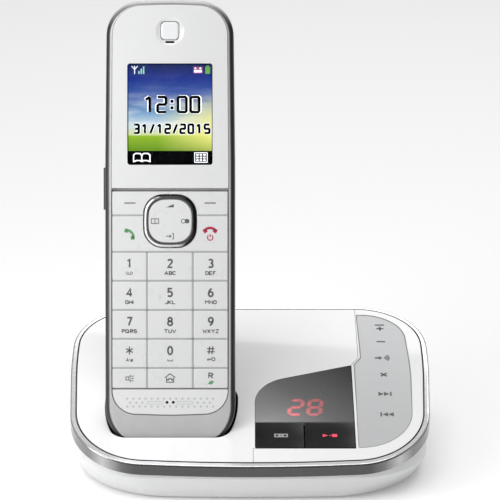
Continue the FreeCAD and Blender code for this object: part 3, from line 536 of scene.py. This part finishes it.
def bend(x, y, across, tall, start, end, steps=12):
    """Points along part of an ellipse, between two turns."""
    turns = [math.radians(start + (end - start) * i / steps) for i in range(steps + 1)]
    return [(x + across * math.cos(turn), y + tall * math.sin(turn)) for turn in turns]


def ring_points(x, y, across, tall):
    """Points all the way round an ellipse."""
    return bend(x, y, across, tall, 0, 360, 20)[:-1]


# Figures from -1 to 1 in height: each is a list of (line, closed).
SIX = [(ring_points(0, -0.42, 0.54, 0.58), True), (bend(0.5, -0.42, 1.04, 1.42, 180, 104), False)]
FIVE_BOWL = bend(-0.04, -0.38, 0.57, 0.62, 118, -145)
FIGURES = {
    "0": [(ring_points(0, 0, 0.56, 1.0), True)],
    "1": [([(-0.45, 0.6), (0.08, 1.0), (0.08, -1.0)], False)],
    "2": [(bend(0, 0.5, 0.52, 0.5, 165, -30) + [(-0.55, -1.0), (0.6, -1.0)], False)],
    "3": [(bend(-0.05, 0.52, 0.5, 0.48, 145, -90), False),
          (bend(-0.05, -0.48, 0.57, 0.52, 90, -145), False)],
    "4": [([(0.28, -1.0), (0.28, 1.0), (-0.62, -0.42), (0.68, -0.42)], False)],
    "5": [([(0.5, 1.0), (-0.42, 1.0), (-0.46, 0.12)] + FIVE_BOWL, False)],
    "6": SIX,
    "7": [([(-0.55, 1.0), (0.55, 1.0), (-0.18, -1.0)], False)],
    "8": [(ring_points(0, 0.52, 0.46, 0.48), True), (ring_points(0, -0.47, 0.56, 0.53), True)],
    "9": [([(-x, -y) for x, y in line], closed) for line, closed in SIX],
}

# Capitals on a grid up to four units wide and six high, as runs of two-figure points.
CAPITALS = {
    "A": "00 26 40,12 32", "B": "00 06 26 35 34 23 03,23 32 31 20 00", "C": "35 26 16 05 01 10 20 31",
    "D": "00 06 16 35 31 10 00", "E": "36 06 00 30,03 23", "F": "36 06 00,03 23",
    "G": "35 26 16 05 01 10 20 31 33 23", "H": "00 06,30 36,03 33", "I": "00 06",
    "J": "36 31 20 10 01", "K": "00 06,36 03 30", "L": "06 00 30", "M": "00 06 23 46 40",
    "N": "00 06 30 36", "O": "10 01 05 16 26 35 31 20 10", "P": "00 06 26 35 34 23 03",
    "Q": "10 01 05 16 26 35 31 20 10,22 40", "R": "00 06 26 35 34 23 03,13 30",
    "S": "35 26 16 05 04 13 23 32 31 20 10 01", "T": "06 46,26 20", "U": "06 01 10 20 31 36",
    "V": "06 20 46", "W": "06 10 24 30 46", "X": "06 30,00 36", "Y": "06 23 46,23 20",
    "Z": "06 36 00 30", "-": "03 23", "a": "30 34 04,32 02 00 30",
}


def figure(digit, height, stroke):
    """One figure centred on its place."""
    scale = (height - stroke) / 2
    outlines = []
    for line, closed in FIGURES[digit]:
        outlines += thick_line([(x * scale, y * scale) for x, y in line], stroke, closed)
    return outlines


def capitals(text, height, stroke, x=0.0, y=0.0, broad=1.65):
    """A row of letters centred on (x, y); broad widens them."""
    unit = (height - stroke) / 6
    gap = 1.25
    runs = [[run.split() for run in CAPITALS[letter].split(",")] for letter in text]
    spans = [max(int(point[0]) for run in letter for point in run) for letter in runs]
    left = -(sum(spans) + gap * (len(text) - 1)) / 2
    outlines = []
    for letter, span in zip(runs, spans):
        for run in letter:
            line = [(x + (left + int(across)) * unit * broad, y + (int(up) - 3) * unit)
                    for across, up in run]
            outlines += thick_line(line, stroke)
        left += span + gap
    return outlines


# Screen digits on a grid one unit wide and two high: each is a list of (line, closed).
SCREEN_DIGITS = {
    "0": [([(0, 0), (1, 0), (1, 2), (0, 2)], True)],
    "1": [([(0.1, 1.62), (0.58, 2), (0.58, 0)], False)],
    "2": [([(0, 2), (1, 2), (1, 1), (0, 1), (0, 0), (1, 0)], False)],
    "3": [([(0, 2), (1, 2), (1, 0), (0, 0)], False), ([(0.2, 1), (1, 1)], False)],
    "5": [([(1, 2), (0, 2), (0, 1), (1, 1), (1, 0), (0, 0)], False)],
    "/": [([(0, -0.05), (0.75, 2.05)], False)],
}


def screen_words(text, height, width, gap, stroke, x, y):
    """Square-cut digits centred on (x, y)."""
    widths = {":": stroke * 1.3, "/": width * 0.75}
    dot = stroke * 1.15
    corner = min(width, height / 2) * 0.16
    total = sum(widths.get(letter, width) for letter in text) + gap * (len(text) - 1)
    left = x - total / 2
    low = y - height / 2
    outlines = []
    for letter in text:
        if letter == ":":
            for rise in (0.28, 0.72):
                outlines += bar(dot, dot, left + widths[":"] / 2, low + height * rise)
        else:
            for line, closed in SCREEN_DIGITS[letter]:
                placed = [(left + across * width, low + up * height / 2) for across, up in line]
                outlines += thick_line(cut_corners(placed, corner, closed), stroke, closed)
        left += widths.get(letter, width) + gap
    return outlines


def segment_digit(lit, width, height, thick, slant):
    """A seven-segment digit; lit names its segments a to g."""
    half_w, half_h = width / 2, height / 2
    gap = thick * 0.12
    places = {
        "a": (0, half_h, True), "g": (0, 0, True), "d": (0, -half_h, True),
        "b": (half_w, half_h / 2, False), "c": (half_w, -half_h / 2, False),
        "f": (-half_w, half_h / 2, False), "e": (-half_w, -half_h / 2, False)}
    outlines = []
    for name in lit:
        x, y, flat = places[name]
        reach = (half_w if flat else half_h / 2) - gap
        point = thick / 2
        profile = [(-reach, 0), (-reach + point, -point), (reach - point, -point),
                   (reach, 0), (reach - point, point), (-reach + point, point)]
        if not flat:
            profile = [(-py, px) for px, py in profile]
        outlines.append([(x + px + (y + py) * slant, y + py) for px, py in profile])
    return outlines


def new_piece(name, mesh, material):
    """Turns a built mesh into an object of one material."""
    data = bpy.data.meshes.new(name)
    mesh.to_mesh(data)
    mesh.free()
    data.materials.append(material)
    piece = bpy.data.objects.new(name, data)
    bpy.context.scene.collection.objects.link(piece)
    return piece


def solid_print(name, shape, place, material, thickness=INK):
    """A thin raised print: place turns (x, y) in millimetres and a height in metres into a point."""
    mesh = bmesh.new()
    for outline in shape:
        area = sum(a[0] * b[1] - b[0] * a[1] for a, b in zip(outline, outline[1:] + outline[:1]))
        points = outline if area > 0 else list(reversed(outline))
        low = [mesh.verts.new(place(x, y, 0.0)) for x, y in points]
        high = [mesh.verts.new(place(x, y, thickness)) for x, y in points]
        mesh.faces.new(high)
        mesh.faces.new(list(reversed(low)))
        for i in range(len(points)):
            j = (i + 1) % len(points)
            mesh.faces.new((low[i], low[j], high[j], high[i]))
    return new_piece(name, mesh, material)


def on_face(across, up, out):
    """A placing for prints about a point on the handset, given in the handset's directions."""
    def place(x, y, height):
        return FACE @ Vector((across + x * MM, up + y * MM, out + height))
    return place


def face_middle(node):
    """The (across, up) middle of a handset node's face."""
    low, high = face_box(node)
    return (low.x + high.x) / 2, (low.y + high.y) / 2


def print_on_face(name, shape, node, body, material, centre=None):
    """Prints a shape on a handset node, about the node's middle or a given (across, up) point."""
    across, up = centre or face_middle(node)
    place = on_face(across, up, face_box(node)[1].z)
    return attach(solid_print(name, shape, place, material), body)


def print_on_key(name, shape, key, material=PRINT, centre=None):
    """Prints a shape on a key that is a body of its own."""
    return print_on_face(name, shape, key, key, material, centre)


def print_on_base(name, shape, node, body, material, centre, lift=0.0):
    """Prints a shape on a sloping base node, following its surface; centre is (x, y) in metres."""
    data = nodes[node].data
    tree = BVHTree.FromPolygons([v.co for v in data.vertices], [p.vertices for p in data.polygons])
    above = Vector((*centre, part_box(node)[1].z + 5 * MM))
    point, normal = tree.ray_cast(above, -UPWARD)[:2]
    back = normal.cross(RIGHT).normalized()

    def place(x, y, height):
        return point + RIGHT * (x * MM) + back * (y * MM) + normal * (lift + height)

    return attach(solid_print(name, shape, place, material), body)


# ---------------------------------------------------------------- keypad

def receiver(size):
    """A telephone receiver seen from the side, arched upwards."""
    arch = arc_band(size * 0.62, size * 0.24, 35, 145, 0, -size * 0.52)
    ends = []
    for side in (-1, 1):
        ends += bar(size * 0.34, size * 0.36, side * size * 0.45, -size * 0.16, -side * 30)
    return arch + ends


def star_shape(size):
    return sum((bar(size, size * 0.15, 0, 0, turn) for turn in (90, 30, -30)), [])


def hash_shape(size):
    rods = []
    for side in (-1, 1):
        rods += bar(size * 0.14, size, side * size * 0.19, 0, -8)
        rods += bar(size * 0.95, size * 0.14, 0, side * size * 0.19)
    return rods


def key_icon():
    """A small key for the keypad lock."""
    bow = arc_band(0.6, 0.3, 0, 360, 0.95, 0)
    shank = bar(1.7, 0.34, -0.45, 0)
    return bow + shank + bar(0.3, 0.6, -1.15, -0.3) + bar(0.3, 0.5, -0.6, -0.25)


def speaker_icon():
    box = thick_line([(-0.2, 0.55), (-1.3, 0.55), (-1.3, -0.55), (-0.2, -0.55)], 0.3)
    cone = thick_line([(-0.2, -0.55), (0.5, -1.25), (0.5, 1.25), (-0.2, 0.55)], 0.3, closed=True)
    rays = bar(0.7, 0.3, 1.25, 0) + bar(0.75, 0.28, 1.2, 0.8, 32) + bar(0.75, 0.28, 1.2, -0.8, -32)
    return box + cone + rays


def house_icon():
    roof = thick_line([(-1.9, 0.3), (0, 1.75), (1.9, 0.3)], 0.34)
    walls = thick_line([(-1.3, 0.3), (-1.3, -1.4), (1.3, -1.4), (1.3, 0.3)], 0.34)
    return roof + walls + moved(receiver(1.7), 0, -0.25)


def space_mark():
    return thick_line([(-0.85, 0.3), (-0.85, -0.25), (0.85, -0.25), (0.85, 0.3)], 0.3)


LETTERS = {
    "1": None, "2": "ABC", "3": "DEF", "4": "GHI", "5": "JKL", "6": "MNO", "7": "PQRS", "8": "TUV",
    "9": "WXYZ", "0": None,
}
DIGIT_HEIGHT = 3.5
DIGIT_STROKE = 0.66
DIGIT_RISE = 1.1
LETTER_HEIGHT = 1.5
LETTER_STROKE = 0.34
LETTER_DROP = -2.45
SIGN_SIZE = 2.9


def message_mark():
    """Two small reels joined by a bar."""
    reels = arc_band(0.42, 0.2, 0, 360, -0.75, 0, 16) + arc_band(0.42, 0.2, 0, 360, 0.75, 0, 16)
    return reels + bar(1.5, 0.2, 0, -0.5)


def leaf():
    """A small leaf with a stalk."""
    turns = [2 * math.pi * i / 20 for i in range(20)]
    blade = [(1.05 * math.cos(turn), 0.62 * math.sin(turn) * abs(math.sin(turn)) ** 0.35) for turn in turns]
    return moved([blade], 0.1, 0, turn=28) + bar(0.8, 0.18, -1.1, -0.5, 30)


def key_legends():
    """The number, letters or symbol on each key."""
    for digit, letters in LETTERS.items():
        shape = moved(figure(digit, DIGIT_HEIGHT, DIGIT_STROKE), 0, DIGIT_RISE)
        if letters:
            shape += capitals(letters, LETTER_HEIGHT, LETTER_STROKE, y=LETTER_DROP)
        elif digit == "0":
            shape += moved(space_mark(), 0, LETTER_DROP)
        else:
            shape += moved(message_mark(), 0, LETTER_DROP)
        print_on_key("legend_key_" + digit, shape, "key_" + digit)
    change_case = capitals("A-a", height=1.35, stroke=0.28, y=LETTER_DROP + 0.1, broad=1.1)
    star = moved(star_shape(SIGN_SIZE), 0, 1.1) + change_case
    print_on_key("legend_key_star", star, "key_star")
    pound = moved(hash_shape(SIGN_SIZE), 0, 1.2) + moved(key_icon(), 0, LETTER_DROP + 0.4)
    print_on_key("legend_key_hash", pound, "key_hash")
    print_on_key("legend_speaker", speaker_icon(), "speaker_key")
    print_on_key("legend_intercom", house_icon(), "intercom_key")
    print_on_key("legend_recall", capitals("R", height=2.2, stroke=0.42, y=1.05), "recall_key")
    print_on_key("legend_saving", moved(leaf(), 0, -1.5), "recall_key", PRINT_GREEN)


def finder_dot():
    """The raised dot to the left of the 5, sunk a little into the key."""
    across, up = face_middle("key_5")
    place = on_face(across - 4.3 * MM, up - 0.4 * MM, face_box("key_5")[1].z - 0.05 * MM)
    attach(solid_print("finder_dot", disc(0.55, sides=20), place, KEY_WHITE, 0.3 * MM), "key_5")


def from_left(node, inset):
    """A point level with a handset node's middle, in from its left edge."""
    return face_box(node)[0].x + inset, face_middle(node)[1]


def from_right(node, inset):
    """A point level with a handset node's middle, in from its right edge."""
    return face_box(node)[1].x - inset, face_middle(node)[1]


def call_legends():
    """Dashes on the soft keys, and the green and red receivers."""
    inset = 6.5 * MM
    dash = bar(4.1, 0.5)
    print_on_key("legend_softkey_left", dash, "softkey_left", PRINT_LIGHT, from_left("softkey_left", inset))
    print_on_key("legend_softkey_right", dash, "softkey_right", PRINT_LIGHT,
                 from_right("softkey_right", inset))
    talk = moved(receiver(3.9), 0.2, 0.2, turn=-48)
    print_on_key("legend_talk", talk, "talk_key", PRINT_GREEN, from_left("talk_key", inset + 0.1 * MM))
    power = arc_band(1.0, 0.4, 125, 415, 0, -1.4) + bar(0.4, 1.2, 0, -0.75)
    hang_up = moved(receiver(4.1), 0, 1.7) + power
    print_on_key("legend_off", hang_up, "off_key", PRINT_RED, from_right("off_key", inset))


def navigation_legends():
    """Volume, phone book, redial and enter marks towards the pad's four edges."""
    volume = [[(-1.5, -0.45), (1.4, -0.45), (1.4, 0.75)]]
    cover = [(-1.35, -0.85), (1.35, -0.85), (1.35, 0.85), (-1.35, 0.85)]
    book = thick_line(cover, 0.26, closed=True) + bar(0.26, 1.7)
    redial = arc_band(0.75, 0.26, 0, 360, -0.6, 0) + disc(0.85, 0.75, 0)
    enter = bar(1.4, 0.34, -0.75, 0) + [[(-0.15, -0.7), (0.6, 0), (-0.15, 0.7)]]
    enter += thick_line([(0.75, 1.0), (1.25, 1.0), (1.25, -1.0), (0.75, -1.0)], 0.28)
    reach = 5.5
    marks = moved(volume, 0, reach) + moved(book, -reach, 0) + moved(redial, reach, 0)
    marks += moved(enter, 0, -reach)
    print_on_face("legend_navigation", marks, "navigation_key", "navigation", PRINT)


def web_piece(name, strips, drop, material):
    """Thin strips, each (left, right, bottom, top), with their tops a given drop below the keys' faces."""
    depth = 0.06 * MM
    shape = []
    for left, right, bottom, top in strips:
        corners = ((left, bottom), (right, bottom), (right, top), (left, top))
        shape.append([(x / MM, y / MM) for x, y in corners])
    place = on_face(0, 0, face_box("key_1")[1].z - drop - depth)
    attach(solid_print(name, shape, place, material, depth), "handset")


def key_web():
    """The membrane that shows grey between the keys, and white above and below the navigation pad."""
    low = {key: face_box(key)[0] for key in FLAT_KEYS}
    high = {key: face_box(key)[1] for key in FLAT_KEYS}
    nav_low, nav_high = face_box("navigation_ring")
    half_rib = 0.3 * MM
    gap = 0.1 * MM
    left, right, bottom = low["key_1"].x, high["key_3"].x, low["speaker_key"].y
    left_column = ("talk_key", "key_1", "key_4", "key_7", "key_star", "speaker_key")
    seams = [(low[upper].y + high[lower].y) / 2 for upper, lower in zip(left_column, left_column[1:])]
    web = [(left, right, seam - half_rib, seam + half_rib) for seam in seams]
    for before, after in (("key_1", "key_2"), ("key_2", "key_3")):
        seam = (high[before].x + low[after].x) / 2
        web.append((seam - half_rib, seam + half_rib, bottom, seams[0]))
    split = (low["softkey_left"].y + high["talk_key"].y) / 2
    web.append((left, nav_low.x - gap, split - half_rib, split + half_rib))
    web.append((nav_high.x + gap, right, split - half_rib, split + half_rib))
    middle = (nav_low.x + nav_high.x) / 2
    bridges = [(middle - half_rib, middle + half_rib, seams[0] + half_rib, nav_low.y - gap),
               (middle - half_rib, middle + half_rib, nav_high.y + gap, high["softkey_left"].y)]
    web_piece("key_web", web, gap, WEB_GREY)
    web_piece("key_bridges", bridges, 0, KEY_WHITE)


def microphone_dots():
    """Three rows of fine dimples across the microphone cover, with two slots in the middle row, drawn as
    grey dots and lines of painted shade.
    """
    pitch = 2.25
    widest = 16.8
    past_slots = 9
    dots = []
    for rise, shift, nearest in ((1.5, 0.0, 0), (0.0, 1.1, past_slots), (-1.4, 0.0, 0)):
        for step in range(-7, 8):
            x = step * pitch + shift
            if nearest <= abs(x) < widest:
                dots += disc(0.42, x, rise, 12)
    slot = [(2.4, 0.5), (8.0, 0.5), (8.4, 0), (8.0, -0.5), (2.4, -0.5)]
    for side in (-1, 1):
        dots += thick_line([(side * x, y) for x, y in slot], 0.22)
    centre = (face_middle("microphone_cover")[0], face_box("microphone_cover")[1].y - 4.85 * MM)
    print_on_face("microphone_dimples", dots, "microphone_cover", "handset", DIMPLE_SHADE, centre)


# ---------------------------------------------------------------- colour screen

SCREEN_HALF_WIDTH = 15.3
SCREEN_HALF_HEIGHT = 18.25
BAR_TOP = -13.4
BAR_MIDDLE = (BAR_TOP - SCREEN_HALF_HEIGHT) / 2
STATUS_ROW = SCREEN_HALF_HEIGHT - 2.0
BEHIND_GLASS = 0.3 * MM
LAYER = 0.04 * MM  # from one thing shown on the screen to the next in front of it
IMAGE_DEPTH = 0.02 * MM


def screen_piece(name, outlines, material, layer):
    """Something shown on the screen; outlines are in millimetres from the screen's middle."""
    across, up = face_middle("display_window")
    place = on_face(across, up, face_box("display_window")[0].z - BEHIND_GLASS + layer * LAYER)
    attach(solid_print(name, outlines, place, material, IMAGE_DEPTH), "handset")


def screen_background():
    """The wallpaper and the dark bar below it."""
    width = 2 * SCREEN_HALF_WIDTH
    picture = bar(width, SCREEN_HALF_HEIGHT - BAR_TOP, 0, (SCREEN_HALF_HEIGHT + BAR_TOP) / 2)
    screen_piece("screen_picture", picture, SCREEN, 0)
    screen_piece("screen_bar", bar(width, BAR_TOP + SCREEN_HALF_HEIGHT, 0, BAR_MIDDLE), SCREEN_BLACK, 0)


def screen_clock():
    """The time over the date, dark with a pale edge."""
    for name, edge, material, layer in (("screen_time_edge", 0.36, SCREEN_WHITE, 1),
                                        ("screen_time", 0.0, SCREEN_INK, 2)):
        time = screen_words("12:00", height=5.5, width=3.1, gap=1.55, stroke=1.0 + edge, x=0.7, y=3.6)
        date = screen_words("31/12/2015", height=3.1, width=1.7, gap=1.27, stroke=0.88 + edge,
                            x=0.6, y=-5.3)
        screen_piece(name, time + date, material, layer)


def screen_bar_marks():
    """An open book to the left and a menu grid to the right."""
    page = [(0, 0.9), (0.7, 1.5), (2.3, 1.5), (3.0, 0.9), (3.0, -1.5), (1.9, -1.1), (0.6, -1.1), (0, -1.5)]
    book = bar(0.45, 2.4, 0, -0.1)
    for side in (-1, 1):
        book += thick_line([(side * x, y) for x, y in page], 0.45)
    grid = sum((bar(0.85, 0.62, x * 1.3, y * 1.0) for x in (-1, 0, 1) for y in (-1, 0, 1)), [])
    grid += thick_line([(-2.3, -1.75), (2.3, -1.75), (2.3, 1.75), (-2.3, 1.75)], 0.32, closed=True)
    screen_piece("screen_book", moved(book, -10.4, BAR_MIDDLE), SCREEN_WHITE, 1)
    screen_piece("screen_menu_grid", moved(grid, 11.3, BAR_MIDDLE), SCREEN_WHITE, 1)


def screen_status_marks():
    """Signal strength to the left, the answering mark and the battery to the right."""
    mast = bar(0.3, 2.9) + thick_line([(-1.1, 1.4), (0, 0.2), (1.1, 1.4)], 0.3)
    signal = []
    for i in range(3):
        tall = 1.1 + 0.85 * i
        signal += bar(0.55, tall, 0.85 * i, tall / 2 - 1.45)
    answer = bar(2.8, 0.9, 0, -0.45) + disc(0.35, -0.9, 0.65) + disc(0.35, 0.9, 0.65)
    battery = bar(1.8, 2.6, 0, -0.1) + bar(0.9, 0.5, 0, 1.4)
    for name, shape, x, material, layer in (
            ("screen_mast", mast, -13.0, SCREEN_WHITE, 1),
            ("screen_signal", signal, -11.4, SCREEN_PALE_GREEN, 1),
            ("screen_answer_mark", bar(3.4, 2.4), 10.2, SCREEN_RED, 1),
            ("screen_answer_detail", answer, 10.2, SCREEN_WHITE, 2),
            ("screen_battery", battery, 13.8, SCREEN_GREEN, 1)):
        screen_piece(name, moved(shape, x, STATUS_ROW), material, layer)


# ---------------------------------------------------------------- base

def base_point(node, u, v):
    """A point in plan, as shares of a node's box."""
    low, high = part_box(node)
    return low.x + (high.x - low.x) * u, low.y + (high.y - low.y) * v


def panel_legends():
    """Volume, locator, erase and skip marks over the six switches."""
    plus = bar(2.9, 0.75, 0, -0.9) + bar(0.75, 2.6, 0, -0.9) + bar(3.6, 0.75, 0, 1.7)
    minus = bar(3.4, 0.75)
    locator = bar(1.7, 0.9, -2.0, 0) + [[(-1.3, -1.2), (0.1, 0), (-1.3, 1.2)]]
    for i in range(3):
        locator += arc_band(0.8 + 0.75 * i, 0.48, -50, 50, 0.3, 0, 10)
    erase = bar(3.0, 0.8, 0, 0, 42) + bar(3.0, 0.8, 0, 0, -42)
    forward = [[(-2.6, -1.25), (-0.5, 0), (-2.6, 1.25)], [(-0.5, -1.25), (1.6, 0), (-0.5, 1.25)]]
    forward += bar(0.6, 2.4, 2.1, 0)
    backward = [[(-x, y) for x, y in outline] for outline in forward]
    panel_low, panel_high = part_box("panel_switches")
    across = (panel_low.x + panel_high.x) / 2 + 0.8 * MM
    marks = (("volume_up", plus, 33.2), ("volume_down", minus, 23.5), ("locator", locator, 12.8),
             ("erase", erase, 2.3), ("forward", forward, -9.2), ("backward", backward, -20.9))
    for name, shape, back in marks:
        print_on_base("legend_" + name, shape, "control_panel", "base", PRINT, (across, back * MM))


def panel_edge():
    """The fine grey line that borders the silver panel, a narrow ribbon laid along its rim."""
    width = 0.32 * MM
    share_lengthwise = 0.3  # the panel is long, so its ribbon turns inward mostly across it
    tops = {}
    for vertex in nodes["control_panel"].data.vertices:
        spot = (round(vertex.co.x / INK), round(vertex.co.y / INK))
        if spot not in tops or tops[spot].z < vertex.co.z:
            tops[spot] = vertex.co.copy()
    low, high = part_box("control_panel")
    centre = (low + high) / 2
    rim = sorted(tops.values(), key=lambda point: math.atan2(point.y - centre.y, point.x - centre.x))
    lift = UPWARD * INK
    mesh = bmesh.new()
    pairs = []
    for point in rim:
        inward = Vector((centre.x - point.x, (centre.y - point.y) * share_lengthwise, 0)).normalized()
        pairs.append((mesh.verts.new(point + lift), mesh.verts.new(point + inward * width + lift)))
    for here, after in zip(pairs, pairs[1:] + pairs[:1]):
        mesh.faces.new((here[0], after[0], after[1], here[1]))
    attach(new_piece("panel_edge", mesh, EDGE_GREY), "base")


def answering_legends():
    """Marks on the two black keys, the play mark lit, and the red count behind the smoked window."""
    box_mark = bar(5.0, 1.9)
    cells = bar(1.0, 0.9, -1.5, 0) + bar(1.0, 0.9, 1.5, 0) + bar(0.7, 0.35, 0, 0)
    centre = base_point("answer_key", 0.53, 0.48)
    print_on_base("legend_answer_on", box_mark, "answer_key", "answer_key", MARK_GREY, centre)
    print_on_base("legend_answer_cells", cells, "answer_key", "answer_key", BLACK_GLOSS, centre,
                  lift=INK)
    play = [[(-2.6, -0.85), (-0.6, 0), (-2.6, 0.85)]] + bar(0.5, 0.4, 0, 0) + bar(1.9, 1.6, 1.7, 0)
    print_on_base("legend_play_stop", play, "play_stop_key", "play_stop_key", KEY_RED,
                  base_point("play_stop_key", 0.5, 0.48))
    width, height, thick, slant = 4.5, 8.4, 1.5, 0.12
    two = moved(segment_digit("abged", width, height, thick, slant), -3.3, 0)
    eight = moved(segment_digit("abcdefg", width, height, thick, slant), 3.7, 0)
    print_on_base("counter_digits", two + eight, "message_counter", "base", LED_RED,
                  base_point("message_counter", 0.5, 0.62), lift=1.3 * MM)


def power_pin():
    """The contact pin inside the power socket, which has a rounded tip."""
    low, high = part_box("power_socket")
    centre = Vector(((low.x + high.x) / 2, 0, (low.z + high.z) / 2))
    start, tip = high.y - 9.3 * MM, high.y - 1.4 * MM
    radius = 0.95
    profile = [(start, radius), (tip - 0.9 * MM, radius), (tip - 0.35 * MM, 0.8), (tip - 0.05 * MM, 0.45),
               (tip, 0.1)]
    mesh = bmesh.new()
    loops = []
    for y, reach in profile:
        circle = disc(reach, sides=24)[0]
        loops.append([mesh.verts.new(centre + Vector((across * MM, y, up * MM))) for across, up in circle])
    for near, far in zip(loops, loops[1:]):
        for i in range(len(near)):
            j = (i + 1) % len(near)
            mesh.faces.new((near[j], near[i], far[i], far[j]))
    mesh.faces.new(loops[0])
    mesh.faces.new(list(reversed(loops[-1])))
    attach(new_piece("power_pin", mesh, CONTACT), "base")


key_legends()
finder_dot()
call_legends()
navigation_legends()
key_web()
microphone_dots()
screen_background()
screen_clock()
screen_bar_marks()
screen_status_marks()
panel_legends()
panel_edge()
answering_legends()
power_pin()
soften("answer_key")
soften("play_stop_key")


# ---------------------------------------------------------------- stage

def floor_paint():
    """A plain pale floor with a barely uneven tone and a fine tooth."""
    material, tree, shader = new_material("floor_pale")
    vector = coordinates(tree, EVEN)
    tone = mottled(tree, vector, 3, grey(0.945), grey(0.95))
    tree.links.new(tone, shader.inputs["Base Color"])
    tree.links.new(tone, shader.inputs["Emission Color"])
    shader.inputs["Emission Strength"].default_value = 0.12
    vary_gloss(tree, shader, vector, 8, 0.7, 0.75)
    add_grain(tree, shader, vector, 900, 0.01)
    return material


def make_floor():
    half = 3.0
    mesh = bmesh.new()
    mesh.faces.new([mesh.verts.new((x, y, 0)) for x, y in bar(2 * half, 2 * half)[0]])
    new_piece("floor", mesh, floor_paint())


def add_softbox(name, place, target, width, height, power):
    light = bpy.data.lights.new(name, "AREA")
    light.shape = "RECTANGLE"
    light.size = width
    light.size_y = height
    light.energy = power
    holder = bpy.data.objects.new(name, light)
    holder.location = place
    holder.rotation_euler = (Vector(target) - Vector(place)).to_track_quat("-Z", "Y").to_euler()
    bpy.context.scene.collection.objects.link(holder)


def make_world(strength):
    """A soft studio: bright above and to the left, dimmer low in front and to the right."""
    world = bpy.data.worlds.new("studio")
    world.use_nodes = True
    tree = world.node_tree
    background = tree.nodes["Background"]
    source = tree.nodes.new("ShaderNodeTexCoord")
    split = tree.nodes.new("ShaderNodeSeparateXYZ")
    tree.links.new(source.outputs["Generated"], split.inputs["Vector"])
    height = ramp(tree, split.outputs["Z"], [(0.0, grey(0.30)), (0.35, grey(0.42)), (0.6, grey(1.0))])
    side = spread(tree, split.outputs["X"], 1.25, 0.7, start=-1.0)
    tree.links.new(multiplied(tree, height, side), background.inputs["Color"])
    background.inputs["Strength"].default_value = strength
    bpy.context.scene.world = world


def make_camera(elevation, distance, target, lens):
    """A camera in front of the object and a little above it."""
    camera = bpy.data.cameras.new("camera")
    camera.sensor_width = 36
    camera.lens = lens
    camera.clip_start = 0.01
    camera.clip_end = 50
    holder = bpy.data.objects.new("camera", camera)
    holder.location = target + Vector((0, -math.cos(elevation), math.sin(elevation))) * distance
    holder.rotation_euler = (target - holder.location).to_track_quat("-Z", "Y").to_euler()
    bpy.context.scene.collection.objects.link(holder)
    bpy.context.scene.camera = holder


make_floor()
make_world(strength=0.52)
add_softbox("key_light", place=(-0.75, -0.75, 0.75), target=(0, 0, 0.08), width=0.7, height=0.7, power=1.4)
add_softbox("near_light", place=(-0.19, -0.10, 0.17), target=(-0.03, 0, 0.10), width=0.1, height=0.25,
            power=0.27)
add_softbox("top_light", place=(0.0, -0.25, 1.3), target=(0, 0, 0.05), width=1.0, height=0.8, power=7)
add_softbox("back_light", place=(0.3, 1.0, 0.98), target=(0, 0.02, 0.03), width=1.5, height=0.32, power=3)
make_camera(elevation=math.radians(18), distance=0.85, target=Vector((0, 0, 0.0813)), lens=164.45)
bpy.context.scene.view_settings.view_transform = "Standard"
